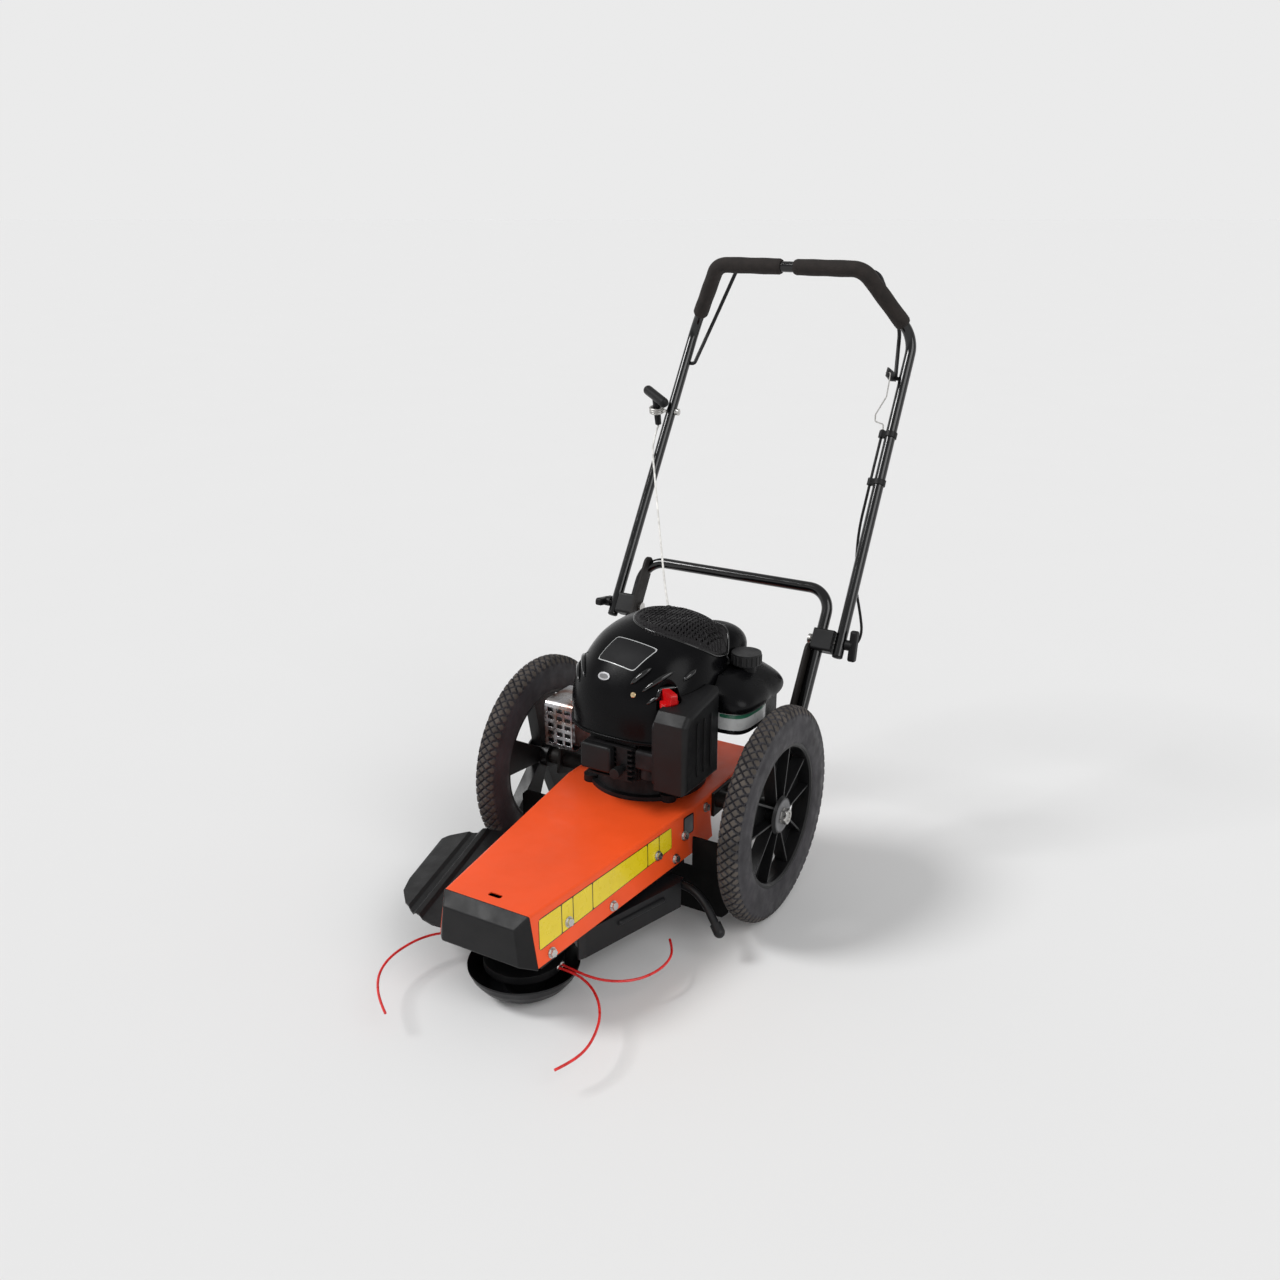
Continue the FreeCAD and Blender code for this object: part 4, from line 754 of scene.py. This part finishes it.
def housing_screws():
    """Brass and zinc screws that hold the housing."""
    dome = surface_of("blower_housing")
    profile = [(0.0030, 0.0002), (0.0030, 0.0016), (0.0026, 0.0034), (0.0016, 0.0044), (-0.002, 0.0042),
               (-0.002, 0.0002)]
    screws = [(at(0.0383, -0.1577, 0.3883), BRASS), (at(-0.095, -0.11, 0.335), ZINC),
              (at(-0.085, 0.06, 0.335), ZINC)]
    for index, (where, material) in enumerate(screws):
        out = (where - at(*HOUSING_AXIS, where.z)).normalized()
        hit, normal = drop(dome, where, out)
        piece = lathe("housing_screw_%d" % index, profile, hit, normal, around=24)
        place(piece, "chassis", material)


def tank_label():
    """A blank two-colour label on the tank's outer wall."""
    tank = surface_of("fuel_tank")
    facing = Vector((0.9, -0.4, 0))
    front, rear = at(0.152, -0.075, 0.321), at(0.189, 0.012, 0.321)
    corners = [front + Z * 0.028, rear + Z * 0.028, rear, front]
    white = applied("tank_label_field", tank, corners, facing, 0.0003, squareness=30)
    place(white, "chassis", LABEL_WHITE)
    band = inner(corners, 0.03, 0.97, 0.05, 0.28)
    green = applied("tank_label_band", tank, band, facing, 0.0006, squareness=30)
    place(green, "chassis", LABEL_GREEN)


def cleaner_ribs():
    """Raised ribs on the air cleaner's cover."""
    cover = surface_of("air_cleaner_cover")
    low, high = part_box("air_cleaner_cover")
    for step in range(3):
        y = (low.y + high.y) / 2 - 0.02 + step * 0.022
        front, rear, foot, top = y - 0.003, y + 0.003, 0.273, 0.363
        spots = (front, top), (rear, top), (rear, foot), (front, foot)
        corners = [Vector((high.x, *spot)) for spot in spots]
        piece = applied("cleaner_rib_%d" % step, cover, corners, X, 0.0018, squareness=4)
        place(piece, "chassis", BLACK_PLASTIC)


# ------------------------------------------------------------------ stage

FLOOR_REACH = 60.0
SKY_SHADES = [(0.16, 0.83), (0.42, 0.42)]  # share of the height, brightness
VIEW_FROM, VIEW_ALONG = at(0.9538, -1.6869, 1.1221), Vector((-0.4785, 0.8098, -0.3396))
FOCAL_LENGTH = 35.05


def stage():
    """A wide pale floor; the sky takes over at its far edge."""
    signs = ((-1, -1), (1, -1), (1, 1), (-1, 1))
    corners = [Vector((x * FLOOR_REACH, y * FLOOR_REACH, -0.0002)) for x, y in signs]
    floor = new_piece("studio_floor", corners, [(0, 1, 2, 3)])
    pale = Finish("studio_pale", (0.8, 0.8, 0.8), 0.9, shine=0.0).vary(0.002, 3).wear(0.02, 4)
    floor.data.materials.append(pale.material)


def sun(name, where, strength, spread):
    lamp = bpy.data.lights.new(name, "SUN")
    lamp.energy = strength
    lamp.angle = math.radians(spread)
    holder = bpy.data.objects.new(name, lamp)
    bpy.context.scene.collection.objects.link(holder)
    holder.rotation_euler = Vector(where).to_track_quat("Z", "Y").to_euler()


def lights():
    sun("key", (-1.05, -0.75, 1.35), 1.6, 18)
    sun("fill", (1.1, -0.45, 1.0), 1.0, 40)


def sky():
    """Pale low down, where the floor ends, and darker overhead, so that glossy black stays black."""
    world = bpy.data.worlds.new("studio")
    bpy.context.scene.world = world
    world.use_nodes = True
    tree = world.node_tree
    place_on_sky = tree.nodes.new("ShaderNodeTexCoord").outputs["Generated"]
    height = tree.nodes.new("ShaderNodeSeparateXYZ")
    tree.links.new(place_on_sky, height.inputs["Vector"])
    ramp = tree.nodes.new("ShaderNodeValToRGB")
    for element, (height_share, shade) in zip(ramp.color_ramp.elements, SKY_SHADES):
        element.position = height_share
        element.color = (shade, shade, shade, 1)
    tree.links.new(height.outputs["Z"], ramp.inputs["Fac"])
    tree.links.new(ramp.outputs["Color"], tree.nodes["Background"].inputs["Color"])


def camera():
    lens = bpy.data.cameras.new("camera")
    lens.sensor_width = 36
    lens.lens = FOCAL_LENGTH
    lens.clip_end = 50
    holder = bpy.data.objects.new("camera", lens)
    bpy.context.scene.collection.objects.link(holder)
    holder.location = VIEW_FROM
    holder.rotation_euler = VIEW_ALONG.to_track_quat("-Z", "Y").to_euler()
    bpy.context.scene.camera = holder


# ------------------------------------------------------------------ everything

def main():
    camera()
    for name in LINE_ROUTES:
        trimmer_line(name)
    starter_rope()
    drawn_rope()
    control_cable()
    finish_cad_nodes()
    for side in SIDES:
        tyre(side)
        hub_cap(side)
        foam_grip(side)
        end_plug(side)
    bail_wire()
    line_eyelets()
    skirt_labels()
    skirt_plate()
    name_plate()
    housing_ridges()
    screen_mesh()
    housing_bead()
    housing_screws()
    tank_label()
    cleaner_ribs()
    stage()
    lights()
    sky()
    bpy.context.scene.view_settings.view_transform = "Standard"


main()
bpy.context.view_layer.update()
